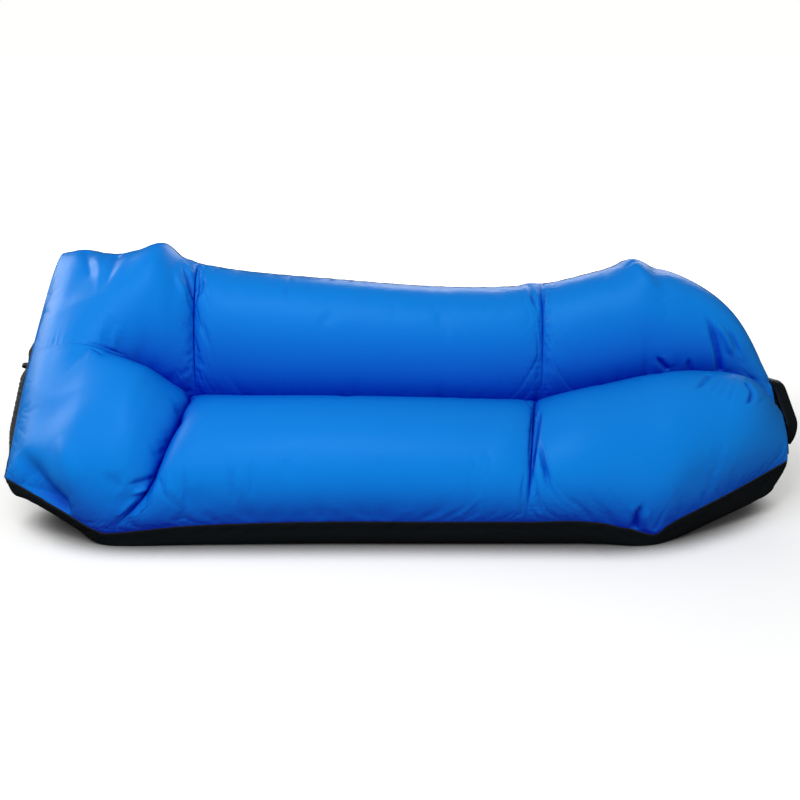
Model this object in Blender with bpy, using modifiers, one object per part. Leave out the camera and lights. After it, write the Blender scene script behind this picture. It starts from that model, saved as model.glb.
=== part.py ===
"""Inflatable air lounger: two sewn air chambers side by side, closed at the foot by a rolled mouth.

Metres, +Z up. +X runs to the foot end with the closure, the sitter faces -Y, and the origin is the
middle of the base on the floor. The lower front chamber is the seat and the upper rear chamber the back.
"""

import math

import bpy
import numpy as np
from mathutils import Matrix, Vector

# Overall size
LENGTH = 2.16
DEPTH = 0.80
HEIGHT = 0.64

# Fabric, seams and webbing
FABRIC = 0.0012
CLEARANCE = 0.0005
SEAT_GAP = 0.0004
SEAM_CLEARANCE = 0.0009
CREASE_CLEARANCE = 0.0008
BINDING_RADIUS = 0.0022
TAPE_RADIUS = 0.0020
TAPE_SHORT_OF_GROOVE = 0.014
WEBBING = 0.0016
WEBBING_WIDTH = 0.020

# Rolled mouth and its sleeves
SLEEVE_INSIDE = 0.018
SLEEVE_OUTSIDE = 0.015
SLEEVE_STRAIGHT = 0.004
SLEEVE_WALL = 0.0010
SLEEVE_SIDE_MARGIN = 0.016
SLEEVE_END_HALF = 0.0030
SLEEVE_PARTING = 0.0015
ROLL_SHIFT = 0.042
ROLL_TILT_SHARE = 0.06
ROLL_WIDTH = 0.040
ROLL_THICKNESS = 0.0190
ROLL_STRAIGHT = 0.110
ROLL_BEND = 0.035
ROLL_TAIL = 0.016
ROLL_LAYER = 0.0016
ROLL_PITCH = 0.0024
ROLL_TURNS = 2.5
QUARTER_TURN = 0.25
STIFFENER = 0.0010
STIFFENER_WIDTH = 0.015
STRAP_TUCK = 0.012
STRAP_LEAD = 0.009
STRAP_BEND = 0.012

# Side-release buckle
BUCKLE_WIDTH = 0.030
BUCKLE_THICKNESS = 0.0104
BUCKLE_WALL = 0.0018
BUCKLE_EDGE = 0.0008
HOUSING_LENGTH = 0.042
HOUSING_MOUTH = 0.008
CAVITY_DEPTH = 0.029
WINDOW_LENGTH = 0.011
WINDOW_INSET = 0.0155
BAR = 0.0040
BAR_THICKNESS = 0.0044
WEB_SLOT = 0.0055
CHEEK_GAP = 0.0012
PLUG_BODY = 0.010
GUIDE_LENGTH = 0.020
GUIDE_WIDTH = 0.0044
PRONG_WIDTH = 0.0024
PRONG_OFFSET = 0.0095
PRONG_HEAD = 0.0095
PRONG_TIP = 0.0060
PRONG_PIVOT_INSET = 0.0016
PRONG_LATCH_INSET = 0.0003

# Anchor loop at the head end, and how far it hangs down at rest as a share of a full turn
ANCHOR_LENGTH = 0.030
ANCHOR_WIDTH = 0.010
ANCHOR_EYE = 0.022
ANCHOR_ROOT = 0.008
ANCHOR_DROOP_SHARE = 0.15

# Overrun of every cut
OVERRUN = 0.004

# The sleeves: rings along one from its inner edge (-1) through the chamber's mouth (0) to the roll (1),
# where its gathers end in a flat neck, and how pointed its lens outline is at the mouth and at the roll
SLEEVE_RING_SHARES = (-1, -0.5, 0, 0.11, 0.30, 0.54, 0.76, 1)
SLEEVE_NECK_SHARE = 0.76
LENS_POINTED_SHARES = (2.0, 0.6)

# Counts: columns of each of the three lengths of a chamber, rows across each face
COLUMNS = (11, 12, 10)
SEAT_ROWS = 12
BACK_ROWS = 12
REAR_ROWS = 14
BASE_ROWS = 12
FINE_COLUMNS = 60
FINE_ROWS = 160
ROW_CLUSTER_SHARE = 0.75

# Stations are places along the lounger, as shares of the way from its head end seam to its mouth.
HEAD_END_SHARE = 0.0
HEAD_CREASE_SHARE = 0.375
FOOT_CREASE_SHARE = 0.75
MOUTH_SHARE = 1.0
WEB_START_SHARE = 0.04
WEB_END_SHARE = 0.975
CREASE_STEP_SHARE = 0.0001

# Seam lines, each row a station, then x, y and z as shares of LENGTH, DEPTH and HEIGHT.
FRONT_SEAM_SHARES = (
    (0.0000, -0.492, -0.345, 0.226),
    (0.0875, -0.458, -0.390, 0.190),
    (0.2000, -0.413, -0.430, 0.118),
    (0.3000, -0.375, -0.462, 0.062),
    (0.3750, -0.349, -0.470, 0.056),
    (0.4500, -0.273, -0.470, 0.086),
    (0.5500, -0.118, -0.470, 0.106),
    (0.6500, 0.027, -0.470, 0.106),
    (0.7500, 0.129, -0.470, 0.106),
    (0.8250, 0.222, -0.470, 0.100),
    (0.8625, 0.281, -0.464, 0.056),
    (0.8875, 0.315, -0.430, 0.094),
    (0.9375, 0.385, -0.330, 0.150),
    (1.0000, 0.469, -0.180, 0.205),
)
GROOVE_SHARES = (
    (0.0000, -0.485, -0.040, 0.580),
    (0.0875, -0.450, -0.070, 0.640),
    (0.2000, -0.393, -0.060, 0.600),
    (0.3000, -0.328, -0.020, 0.460),
    (0.3750, -0.280, 0.000, 0.360),
    (0.4500, -0.223, 0.005, 0.335),
    (0.5500, -0.098, 0.005, 0.330),
    (0.6500, 0.047, 0.005, 0.325),
    (0.7500, 0.165, 0.005, 0.325),
    (0.8250, 0.232, 0.005, 0.380),
    (0.8750, 0.297, 0.000, 0.440),
    (0.9125, 0.347, -0.010, 0.455),
    (0.9625, 0.422, -0.010, 0.400),
    (1.0000, 0.470, -0.006, 0.346),
)
TOP_SEAM_SHARES = (
    (0.0000, -0.462, 0.275, 0.955),
    (0.0600, -0.4335, 0.293, 0.966),
    (0.1150, -0.410, 0.300, 0.950),
    (0.1700, -0.386, 0.304, 0.944),
    (0.2200, -0.359, 0.305, 0.962),
    (0.2700, -0.330, 0.305, 0.993),
    (0.3350, -0.3035, 0.305, 0.925),
    (0.3750, -0.283, 0.305, 0.902),
    (0.4500, -0.233, 0.305, 0.868),
    (0.5500, -0.103, 0.305, 0.826),
    (0.6500, 0.047, 0.305, 0.790),
    (0.7500, 0.169, 0.305, 0.802),
    (0.8250, 0.232, 0.305, 0.850),
    (0.8550, 0.264, 0.305, 0.882),
    (0.8750, 0.290, 0.305, 0.920),
    (0.8950, 0.317, 0.300, 0.888),
    (0.9125, 0.342, 0.290, 0.862),
    (0.9625, 0.417, 0.210, 0.700),
    (1.0000, 0.465, 0.110, 0.440),
)
BASE_GROOVE_SHARES = (
    (0.0000, -0.485, -0.040, 0.580),
    (0.0875, -0.450, -0.020, 0.400),
    (0.2000, -0.383, 0.010, 0.170),
    (0.3000, -0.323, 0.020, 0.070),
    (0.3750, -0.280, 0.025, 0.055),
    (0.4500, -0.223, 0.025, 0.055),
    (0.5500, -0.098, 0.025, 0.055),
    (0.6500, 0.047, 0.025, 0.055),
    (0.7500, 0.165, 0.025, 0.055),
    (0.8250, 0.232, 0.025, 0.060),
    (0.8750, 0.297, 0.020, 0.090),
    (0.9125, 0.342, 0.010, 0.150),
    (0.9625, 0.419, -0.005, 0.260),
    (1.0000, 0.470, -0.006, 0.346),
)
# How far each face swells at a station, as shares of its full swell: seat, back, rear, base.
SWELL_SHARES = (
    (0.0000, 0.45, 0.60, 0.40, 0.90),
    (0.0875, 0.65, 0.80, 0.80, 0.78),
    (0.2000, 1.00, 1.00, 1.00, 0.80),
    (0.3000, 1.12, 1.00, 1.00, 1.00),
    (0.3750, 1.06, 1.00, 1.00, 1.00),
    (0.5500, 1.04, 1.00, 1.00, 1.00),
    (0.7500, 1.00, 1.00, 1.00, 1.00),
    (0.8250, 1.05, 1.02, 1.00, 1.00),
    (0.8750, 1.08, 1.05, 1.00, 1.00),
    (0.9125, 1.04, 1.08, 1.00, 0.95),
    (0.9625, 1.06, 1.00, 0.85, 0.95),
    (1.0000, 0.60, 0.60, 0.50, 0.90),
)
# Where a face is drawn in: station, side of it, how far it takes to swell again, share that stays.
END_SEAM_SHARES = ((HEAD_END_SHARE, 1, 0.2125, 0.04), (MOUTH_SHARE, -1, 0.07, 0.18))
BASE_END_SHARES = ((HEAD_END_SHARE, 1, 0.04, 0.04), (MOUTH_SHARE, -1, 0.025, 0.08))
SEAT_CREASE_SHARES = (
    (HEAD_CREASE_SHARE, -1, 0.045, 0.64),
    (HEAD_CREASE_SHARE, 1, 0.07, 0.64),
    (FOOT_CREASE_SHARE, -1, 0.04, 0.80),
    (FOOT_CREASE_SHARE, 1, 0.055, 0.80),
)
BACK_CREASE_SHARES = (
    (HEAD_CREASE_SHARE, -1, 0.075, 0.70),
    (HEAD_CREASE_SHARE, 1, 0.065, 0.75),
    (FOOT_CREASE_SHARE, -1, 0.04, 0.82),
    (FOOT_CREASE_SHARE, 1, 0.055, 0.82),
)
# How far along x each of a face's two curve handles leans to its other seam: station, then both.
EVEN_LEAN_SHARES = ((0.0, 0.33, 0.33), (1.0, 0.33, 0.33))
SEAT_LEAN_SHARES = (
    (0.0000, 0.55, 0.15),
    (0.3750, 0.55, 0.15),
    (0.4500, 0.55, 0.15),
    (0.7000, 0.15, 0.55),
    (0.7500, 0.15, 0.55),
    (0.8250, 0.15, 0.55),
    (1.0000, 0.33, 0.33),
)
# Each face: its two seams, its column of SWELL_SHARES, its curve handles at the two seams (y and z as
# shares of DEPTH and HEIGHT), how they lean, and where the face is drawn in.
FACE_SHARES = {
    "seat": (
        "front",
        "groove",
        0,
        ((-0.130, 0.330), (-0.120, 0.310)),
        SEAT_LEAN_SHARES,
        END_SEAM_SHARES + SEAT_CREASE_SHARES,
    ),
    "back": (
        "groove",
        "top",
        1,
        ((-0.005, 0.200), (-0.235, 0.100)),
        EVEN_LEAN_SHARES,
        END_SEAM_SHARES + BACK_CREASE_SHARES,
    ),
    "rear": ("top", "base", 2, ((0.250, -0.130), (0.600, -0.310)), EVEN_LEAN_SHARES, END_SEAM_SHARES),
    "base": ("base", "front", 3, ((-0.250, -0.200), (-0.070, -0.200)), EVEN_LEAN_SHARES, BASE_END_SHARES),
}
SEAM_SHARES = {
    "front": FRONT_SEAM_SHARES,
    "groove": GROOVE_SHARES,
    "top": TOP_SEAM_SHARES,
    "base": BASE_GROOVE_SHARES,
}
# At the head end the two blue faces run into one another across the groove: where this starts to fade into
# a crease, where the crease is full, and how far their handles reach as shares of a face's width.
BLEND_SHARES = (0.10, 0.32)
BLEND_HANDLE_SHARE = 0.33
# The black underside bellies out past the head end seam: how far in x, y and z, how far along, and its
# outline across as the powers of the distances from the two seams.
BELLY_SHARES = (-0.016, 0.010, -0.010)
BELLY_POWER_SHARES = (1.5, 3.0)
BELLY_REACH_SHARE = 0.15

BLUE_FABRIC = ("blue_fabric", (0.0, 0.155, 0.62), 0.42)
BLACK_FABRIC = ("black_fabric", (0.012, 0.013, 0.015), 0.55)
BLACK_WEBBING = ("black_webbing", (0.010, 0.010, 0.012), 0.80)
BLACK_PLASTIC = ("black_plastic", (0.014, 0.014, 0.015), 0.38)
CLEAR_PLASTIC = ("stiffener_plastic", (0.75, 0.77, 0.78), 0.30)

SCALE = np.array((LENGTH, DEPTH, HEIGHT))
# How far a panel's edge stays from a seam it runs beside, and from one that it rises over.
EDGE_IN = BINDING_RADIUS + SEAM_CLEARANCE
END_IN = BINDING_RADIUS + FABRIC + SEAM_CLEARANCE
CREASE_IN = TAPE_RADIUS + FABRIC / 2 + CREASE_CLEARANCE


def clear_scene():
    for obj in list(bpy.data.objects):
        bpy.data.objects.remove(obj, do_unlink=True)


def collection(name, hidden=False):
    made = bpy.data.collections.new(name)
    made.hide_render = hidden
    bpy.context.scene.collection.children.link(made)
    return made


def finish_of(finish):
    """A Principled material from its name, base colour and roughness."""
    name, colour, roughness = finish
    material = bpy.data.materials.get(name)
    if material is None:
        material = bpy.data.materials.new(name)
        material.use_nodes = True
        material.diffuse_color = (*colour, 1)
        shader = material.node_tree.nodes["Principled BSDF"]
        shader.inputs["Base Color"].default_value = (*colour, 1)
        shader.inputs["Roughness"].default_value = roughness
        shader.inputs["Metallic"].default_value = 0
    return material


def add_object(name, data, finish, parent=None):
    obj = bpy.data.objects.new(name, data)
    PARTS.objects.link(obj)
    data.materials.append(finish_of(finish))
    obj.parent = parent
    return obj


def grid_object(name, points, finish, thickness, parent=None, round_section=False, offset=-1):
    """A sheet lofted through rows of points, thickened; a round section joins its last row to its first."""
    columns, rows = points.shape[:2]
    mesh = bpy.data.meshes.new(name)
    across = rows if round_section else rows - 1
    faces = [
        (
            i * rows + j,
            (i + 1) * rows + j,
            (i + 1) * rows + (j + 1) % rows,
            i * rows + (j + 1) % rows,
        )
        for i in range(columns - 1)
        for j in range(across)
    ]
    mesh.from_pydata([tuple(p) for p in points.reshape(-1, 3)], [], faces)
    mesh.shade_smooth()
    obj = add_object(name, mesh, finish, parent)
    shell = obj.modifiers.new("fabric thickness", "SOLIDIFY")
    shell.thickness = thickness
    shell.offset = offset
    return obj


def tube_object(name, points, radius, finish, parent=None):
    """A round cord along a polyline."""
    curve = bpy.data.curves.new(name, "CURVE")
    curve.dimensions = "3D"
    curve.bevel_depth = radius
    curve.bevel_resolution = 2
    curve.use_fill_caps = True
    spline = curve.splines.new("POLY")
    spline.points.add(len(points) - 1)
    for point, place in zip(spline.points, points):
        point.co = (*place, 1)
    return add_object(name, curve, finish, parent)


def outline_object(name, outlines, half_width, finish, parent=None):
    """A flat outline with any holes, extruded both ways along local z."""
    curve = bpy.data.curves.new(name, "CURVE")
    curve.dimensions = "2D"
    curve.fill_mode = "BOTH"
    curve.extrude = half_width
    for outline in outlines:
        spline = curve.splines.new("POLY")
        spline.points.add(len(outline) - 1)
        spline.use_cyclic_u = True
        for point, (x, y) in zip(spline.points, outline):
            point.co = (x, y, 0, 1)
    return add_object(name, curve, finish, parent)


def block_mesh(name, low, high):
    """A box between two corners, its size in the mesh."""
    bpy.ops.mesh.primitive_cube_add(size=1)
    obj = bpy.context.active_object
    obj.name = name
    centre = (Vector(low) + Vector(high)) / 2
    size = Vector(high) - Vector(low)
    obj.data.transform(Matrix.Translation(centre) @ Matrix.Diagonal((*size, 1)))
    for owner in list(obj.users_collection):
        owner.objects.unlink(obj)
    return obj


def block_object(name, low, high, finish, parent=None, edge=0.0):
    obj = block_mesh(name, low, high)
    PARTS.objects.link(obj)
    obj.data.materials.append(finish_of(finish))
    obj.parent = parent
    if edge:
        bevel = obj.modifiers.new("rounded edges", "BEVEL")
        bevel.width = edge
        bevel.segments = 2
    return obj


def cut_block(target, name, low, high):
    """Cuts a box out of the target, in the target's own coordinates."""
    cutter = block_mesh(name, low, high)
    CUTTERS.objects.link(cutter)
    cutter.parent = target
    cutter.hide_render = True
    cutter.display_type = "WIRE"
    cut = target.modifiers.new(name, "BOOLEAN")
    cut.operation = "DIFFERENCE"
    cut.object = cutter


def hermite(rows, stations):
    """Values between the rows of a table, on a smooth curve through them."""
    table = np.array(rows)
    at, values = table[:, 0], table[:, 1:]
    slopes = np.gradient(values, at, axis=0)
    i = np.clip(np.searchsorted(at, stations, side="right") - 1, 0, len(at) - 2)
    span = (at[i + 1] - at[i])[:, None]
    t = (stations - at[i])[:, None] / span
    return (
        (2 * t**3 - 3 * t**2 + 1) * values[i]
        + (t**3 - 2 * t**2 + t) * span * slopes[i]
        + (3 * t**2 - 2 * t**3) * values[i + 1]
        + (t**3 - t**2) * span * slopes[i + 1]
    )


def seam(name, stations):
    return hermite(SEAM_SHARES[name], np.atleast_1d(stations)) * SCALE


def swell(name, stations):
    """How much of its full swell a face has at each station, drawn in at its end seams and creases."""
    _, _, column, _, _, drawn_in = FACE_SHARES[name]
    least = np.ones_like(stations)
    for at, side, reach, stays in drawn_in:
        away = (stations - at) * side
        rise = np.sqrt(1 - (1 - np.clip(away / reach, 0, 1)) ** 2)
        least = np.minimum(least, np.where(away >= 0, stays + (1 - stays) * rise, 1))
    return hermite(SWELL_SHARES, stations)[:, column] * least


def head_blend(stations, chords):
    """How much of the groove is smoothed away at each station, and the handles that then lie along it."""
    fade, full = BLEND_SHARES
    x = np.clip((stations - fade) / (full - fade), 0, 1)
    across = seam("top", stations) - seam("front", stations)
    across = across / np.linalg.norm(across, axis=1, keepdims=True)
    reach = BLEND_HANDLE_SHARE * np.linalg.norm(chords, axis=1, keepdims=True) * across
    return (1 - x * x * (3 - 2 * x))[:, None], reach


def face_points(name, stations, shares):
    """Points of a chamber face, an array of stations by shares across it; the floor flattens it."""
    start, end, _, handles, leans, _ = FACE_SHARES[name]
    first, last = seam(start, stations), seam(end, stations)
    full = swell(name, stations)[:, None]
    along = (last - first) * np.array((1, 0, 0))
    outward = [np.array((0, y * DEPTH, z * HEIGHT)) for y, z in handles]
    lean = hermite(leans, stations)
    second = first + lean[:, :1] * along + full * outward[0]
    third = last - lean[:, 1:] * along + full * outward[1]
    if name in ("seat", "back"):
        blend, reach = head_blend(stations, last - first)
        if name == "seat":
            third = third + blend * (last - reach - third)
        else:
            second = second + blend * (first + reach - second)
    t = shares[None, :, None]
    corners = [p[:, None, :] for p in (first, second, third, last)]
    points = (
        (1 - t) ** 3 * corners[0]
        + 3 * (1 - t) ** 2 * t * corners[1]
        + 3 * (1 - t) * t**2 * corners[2]
        + t**3 * corners[3]
    )
    if name == "base":
        belly = np.sin(math.pi * np.sqrt(np.clip(stations / BELLY_REACH_SHARE, 0, 1)))
        first_power, last_power = BELLY_POWER_SHARES
        peak = first_power / (first_power + last_power)
        across = (shares / peak) ** first_power * ((1 - shares) / (1 - peak)) ** last_power
        weight = belly[:, None] * across
        points += weight[:, :, None] * np.array(BELLY_SHARES) * SCALE
    points[..., 2] = np.maximum(points[..., 2], 0)
    return points


def along_line(line, places):
    """Points of a polyline at distances along it."""
    steps = np.linalg.norm(np.diff(line, axis=0), axis=1)
    run = np.concatenate(((0,), np.cumsum(steps)))
    return np.stack([np.interp(places, run, line[:, k]) for k in range(3)], axis=-1), run[-1]


def line_length(line):
    return np.linalg.norm(np.diff(line, axis=0), axis=1).sum()


def unit(vectors):
    return vectors / np.linalg.norm(vectors, axis=-1, keepdims=True)


def trims(lines, distance):
    """How much to cut off the start of each of a row of lines that leave one seam, for its distance.

    A line that leaves at a slant is cut more, and so is one whose neighbours turn another way.
    """
    tangents = unit(np.gradient(lines[:, 0], axis=0))
    away = unit(np.array([along_line(line, np.array((distance,)))[0][0] - line[0] for line in lines]))
    square = away - tangents * (away * tangents).sum(axis=1)[:, None]
    slant = np.linalg.norm(square, axis=1)
    square = unit(square)
    turn = (square[1:] * square[:-1]).sum(axis=1)
    turn = np.minimum(np.append(turn, 1), np.insert(turn, 0, 1))
    return distance / (slant * np.sqrt((1 + turn) / 2))


def spaced_rows(points, rows, distance):
    """Each column resampled, closer together near its ends, which are the distance from the seams."""
    starts, ends = trims(points, distance), trims(points[:, ::-1], distance)
    even = np.linspace(0, 1, rows + 1)
    spacing = even + ROW_CLUSTER_SHARE * ((1 - np.cos(math.pi * even)) / 2 - even)
    columns = []
    for line, start, end in zip(points, starts, ends):
        places = start + (line_length(line) - start - end) * spacing
        columns.append(along_line(line, places)[0])
    return np.array(columns)


def stations_of(part):
    """The columns' stations over one of the three lengths, closer together near its ends."""
    ends = (HEAD_END_SHARE, HEAD_CREASE_SHARE, FOOT_CREASE_SHARE, MOUTH_SHARE)
    turn = np.linspace(0, math.pi, COLUMNS[part] + 1)
    return ends[part] + (ends[part + 1] - ends[part]) * (1 - np.cos(turn)) / 2


def all_stations():
    return np.concatenate((stations_of(0), stations_of(1)[1:], stations_of(2)[1:]))


def panel_points(name, stations, rows, beside, start, end):
    """A panel's grid: trimmed beside its two seams, and by a distance from a seam at its start or end."""
    fine = np.linspace(0, 1, FINE_ROWS + 1)
    points = spaced_rows(face_points(name, stations, fine), rows, beside)
    for distance, near, beyond in ((start, 0, 1), (end, -1, -2)):
        if not distance:
            continue
        between = np.linspace(stations[near], stations[beyond], FINE_COLUMNS + 1)
        close = spaced_rows(face_points(name, between, fine), rows, beside)
        lines = close.transpose(1, 0, 2)
        for j, trim in enumerate(trims(lines, distance)):
            points[near, j] = along_line(lines[j], np.array((trim,)))[0][0]
    return points


def make_chamber_panels():
    names = (
        ("front_head_panel", "seat", SEAT_ROWS, 0, END_IN, CREASE_IN),
        ("front_seat_panel", "seat", SEAT_ROWS, 1, CREASE_IN, CREASE_IN),
        ("front_foot_panel", "seat", SEAT_ROWS, 2, CREASE_IN, 0),
        ("back_head_panel", "back", BACK_ROWS, 0, END_IN, CREASE_IN),
        ("back_middle_panel", "back", BACK_ROWS, 1, CREASE_IN, CREASE_IN),
        ("back_foot_panel", "back", BACK_ROWS, 2, CREASE_IN, 0),
    )
    for name, face, rows, part, start, end in names:
        points = panel_points(face, stations_of(part), rows, EDGE_IN, start, end)
        grid_object(name, points, BLUE_FABRIC, FABRIC)
    for name, face, rows, beside in (
        ("rear_panel", "rear", REAR_ROWS, EDGE_IN),
        ("front_base_panel", "base", BASE_ROWS, END_IN),
    ):
        points = panel_points(face, all_stations(), rows, beside, END_IN, 0)
        grid_object(name, points, BLACK_FABRIC, FABRIC)


def trimmed_line(line, start, end):
    """A polyline with its ends cut back by distances, its inner points kept."""
    steps = np.linalg.norm(np.diff(line, axis=0), axis=1)
    run = np.concatenate(((0,), np.cumsum(steps)))
    inner = line[(run > start) & (run < run[-1] - end)]
    ends = along_line(line, np.array((start, run[-1] - end)))[0]
    return np.concatenate((ends[:1], inner, ends[1:]))


def web_stations():
    stations = all_stations()
    inner = stations[(stations > WEB_START_SHARE) & (stations < WEB_END_SHARE)]
    return np.concatenate(((WEB_START_SHARE,), inner, (WEB_END_SHARE,)))


def make_seams():
    """The binding round the two chambers, the tapes in the grooves and those in the cross creases."""
    stations = all_stations()
    front, top = seam("front", stations), seam("top", stations)
    middle = seam("groove", HEAD_END_SHARE)
    binding = np.concatenate((front[::-1], middle, top))
    tube_object("perimeter_binding", binding, BINDING_RADIUS, BLACK_WEBBING)
    end_trim = EDGE_IN + TAPE_RADIUS
    groove = trimmed_line(seam("groove", stations), end_trim, 0)
    tube_object("groove_seam_tape", groove, TAPE_RADIUS, BLUE_FABRIC)
    tube_object("base_seam_tape", seam("base", web_stations()), TAPE_RADIUS, BLACK_FABRIC)
    creases = (
        ("front_head_seam_tape", "seat", HEAD_CREASE_SHARE, SEAT_ROWS, end_trim, TAPE_SHORT_OF_GROOVE),
        ("front_foot_seam_tape", "seat", FOOT_CREASE_SHARE, SEAT_ROWS, end_trim, TAPE_SHORT_OF_GROOVE),
        ("back_head_seam_tape", "back", HEAD_CREASE_SHARE, BACK_ROWS, TAPE_SHORT_OF_GROOVE, end_trim),
        ("back_foot_seam_tape", "back", FOOT_CREASE_SHARE, BACK_ROWS, TAPE_SHORT_OF_GROOVE, end_trim),
    )
    fine = np.linspace(0, 1, FINE_ROWS + 1)
    for name, face, station, rows, start, end in creases:
        beside = np.array((station, station + CREASE_STEP_SHARE))
        line = spaced_rows(face_points(face, beside, fine), rows, EDGE_IN)[0]
        line = trimmed_line(line, start - EDGE_IN, end - EDGE_IN)
        tube_object(name, line, TAPE_RADIUS, BLUE_FABRIC)


def make_partition():
    """The web between the chambers, from the groove seam down to the seam under the base."""
    stations = web_stations()
    upper, lower = seam("groove", stations), seam("base", stations)
    pairs = np.stack((upper, lower), axis=1)
    columns = spaced_rows(pairs, 1, TAPE_RADIUS + CLEARANCE)
    grid_object("centre_partition", columns, BLACK_FABRIC, FABRIC, offset=0)


def mouth_frame():
    """The mouth's middle and its three directions: along the mouth, square to its fabric, outward."""
    low, high = seam("front", MOUTH_SHARE)[0], seam("top", MOUTH_SHARE)[0]
    along = (high - low) / np.linalg.norm(high - low)
    outward = np.array((1, 0, 0)) - along[0] * along
    outward = outward / np.linalg.norm(outward)
    return (low + high) / 2, along, np.cross(outward, along), outward


def roll_frame():
    """The roll's hinge and its three directions: the roll lies tilted to the mouth, its upper end closer."""
    mouth, along, normal, outward = mouth_frame()
    place = mouth + ROLL_SHIFT * along + SLEEVE_OUTSIDE * outward
    tilted = along - ROLL_TILT_SHARE * outward
    tilted = tilted / np.linalg.norm(tilted)
    return place, tilted, normal, np.cross(tilted, normal)


def lens(half_width, half_thickness, pointed, points=16):
    """A closed lens outline: with cusps where pointed is 2, and like a rounded slab well below 1."""
    turn = 2 * math.pi * np.arange(points) / points
    height = half_thickness * np.sign(np.sin(turn)) * np.abs(np.sin(turn)) ** pointed
    return half_width * np.cos(turn), height


def mouth_lens(upper_face, lower_face):
    """Middle, chord direction, half chord and the fabric's two heights of a chamber's open end."""
    _, _, normal, _ = mouth_frame()
    at, middle = np.array((MOUTH_SHARE,)), np.array((0, 0.5, 1))
    upper, lower = face_points(upper_face, at, middle)[0], face_points(lower_face, at, middle)[0]
    centre = (upper[0] + upper[2]) / 2
    chord = upper[2] - upper[0]
    square = normal - chord * (normal @ chord) / (chord @ chord)
    square = square / np.linalg.norm(square)
    return centre, chord, square, (upper[1] - centre) @ square, (lower[1] - centre) @ square


def make_mouth_sleeves():
    """The black sleeves sewn into the two chamber ends, which gather into the roll."""
    outward = mouth_frame()[3]
    hinge, along, normal, roll_out = roll_frame()
    outer_half = ROLL_STRAIGHT / 4 - SLEEVE_PARTING
    for name, upper, lower, side in (
        ("front_mouth_sleeve", "seat", "base", -1),
        ("rear_mouth_sleeve", "back", "rear", 1),
    ):
        centre, chord, square, high, low = mouth_lens(upper, lower)
        inner_half = np.linalg.norm(chord) / 2 - SLEEVE_SIDE_MARGIN
        inner_height = (high - low) / 2 - FABRIC - 3 * CLEARANCE
        chord = chord / np.linalg.norm(chord)
        middle = centre + square * (high + low) / 2
        neck_length = (1 - SLEEVE_NECK_SHARE) * SLEEVE_OUTSIDE
        gathered = hinge + side * (outer_half + SLEEVE_PARTING) * along - neck_length * roll_out
        rings = []
        for ease in SLEEVE_RING_SHARES:
            inside = min(ease, 0) * (SLEEVE_INSIDE + SLEEVE_STRAIGHT) + SLEEVE_STRAIGHT
            share = min(max(ease, 0) / SLEEVE_NECK_SHARE, 1)
            wide = inner_half + (outer_half - inner_half) * share
            high_now = inner_height + (SLEEVE_END_HALF - inner_height) * share
            pointed = LENS_POINTED_SHARES[0] * (1 - share) + LENS_POINTED_SHARES[1] * share
            x, y = lens(wide, high_now, pointed)
            root = middle + inside * outward
            place = root + (gathered - root) * share
            place = place + max(ease - SLEEVE_NECK_SHARE, 0) * SLEEVE_OUTSIDE * roll_out
            chord_now = chord + (along - chord) * share
            square_now = square + (normal - square) * share
            rings.append(place + x[:, None] * chord_now + y[:, None] * square_now)
        grid_object(name, np.array(rings), BLACK_FABRIC, SLEEVE_WALL, round_section=True)


def make_closure_pivot():
    """The empty on the axis about which the rolled mouth flops: local x along the roll, z outward."""
    place, along, normal, outward = roll_frame()
    pivot = bpy.data.objects.new("closure_pivot", None)
    PARTS.objects.link(pivot)
    frame = Matrix((along, normal, outward)).transposed().to_4x4()
    pivot.matrix_world = Matrix.Translation(place) @ frame
    return pivot


def roll_middle():
    return SEAT_GAP + ROLL_WIDTH / 2


def roll_path(distance):
    """Point and direction on the roll's U path, at a distance from its middle, in the closure's x and y."""
    side = -1 if distance < 0 else 1
    run = abs(distance)
    straight, bend = ROLL_STRAIGHT / 2, ROLL_BEND * math.pi / 2
    if run <= straight:
        return side * run, 0, side * 0
    if run <= straight + bend:
        turn = (run - straight) / ROLL_BEND
    else:
        turn = math.pi / 2
    beyond = max(run - straight - bend, 0)
    x = straight + ROLL_BEND * math.sin(turn)
    y = -ROLL_BEND * (1 - math.cos(turn)) - beyond
    return side * x, y, side * turn


def roll_half():
    return ROLL_STRAIGHT / 2 + ROLL_BEND * math.pi / 2 + ROLL_TAIL


def swept(distances, section):
    """Rings of a section, given as heights off the path and places across it, along the roll's path."""
    rings = []
    for distance in distances:
        x, y, turn = roll_path(distance)
        out = np.array((math.sin(turn), math.cos(turn), 0))
        across = np.array((0, 0, 1))
        centre = np.array((x, y, roll_middle()))
        rings.append(centre + section[:, :1] * out + section[:, 1:] * across)
    return np.array(rings)


def spiral_radii(turns):
    """Half width and half height of the roll's middle layer line after some turns."""
    inward = ROLL_PITCH * turns + ROLL_LAYER / 2
    return ROLL_WIDTH / 2 - inward, ROLL_THICKNESS / 2 - inward


def spiral_section():
    """The rolled fabric's line, from its outer edge beside the mouth to its core, as height and width."""
    per_turn = 12
    section = []
    for k in range(int(ROLL_TURNS * per_turn)):
        turns = (k + 0.5) / per_turn
        wide, high = spiral_radii(turns)
        angle = math.pi + 2 * math.pi * turns
        flat = math.copysign(wide - high, math.cos(angle))
        section.append((high * math.sin(angle), flat + high * math.cos(angle)))
    return np.array(section)


def roll_distances():
    straight = ROLL_STRAIGHT / 2
    bends = [straight + ROLL_BEND * math.pi / 2 * k / 5 for k in range(6)]
    half = [*bends, roll_half()]
    return np.array([-d for d in reversed(half)] + half)


def make_roll(pivot):
    """The two mouths rolled up together, the roll bent round so that its ends meet behind."""
    points = swept(roll_distances(), spiral_section())
    grid_object("closure_roll", points, BLACK_FABRIC, ROLL_LAYER, pivot, offset=0)


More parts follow.
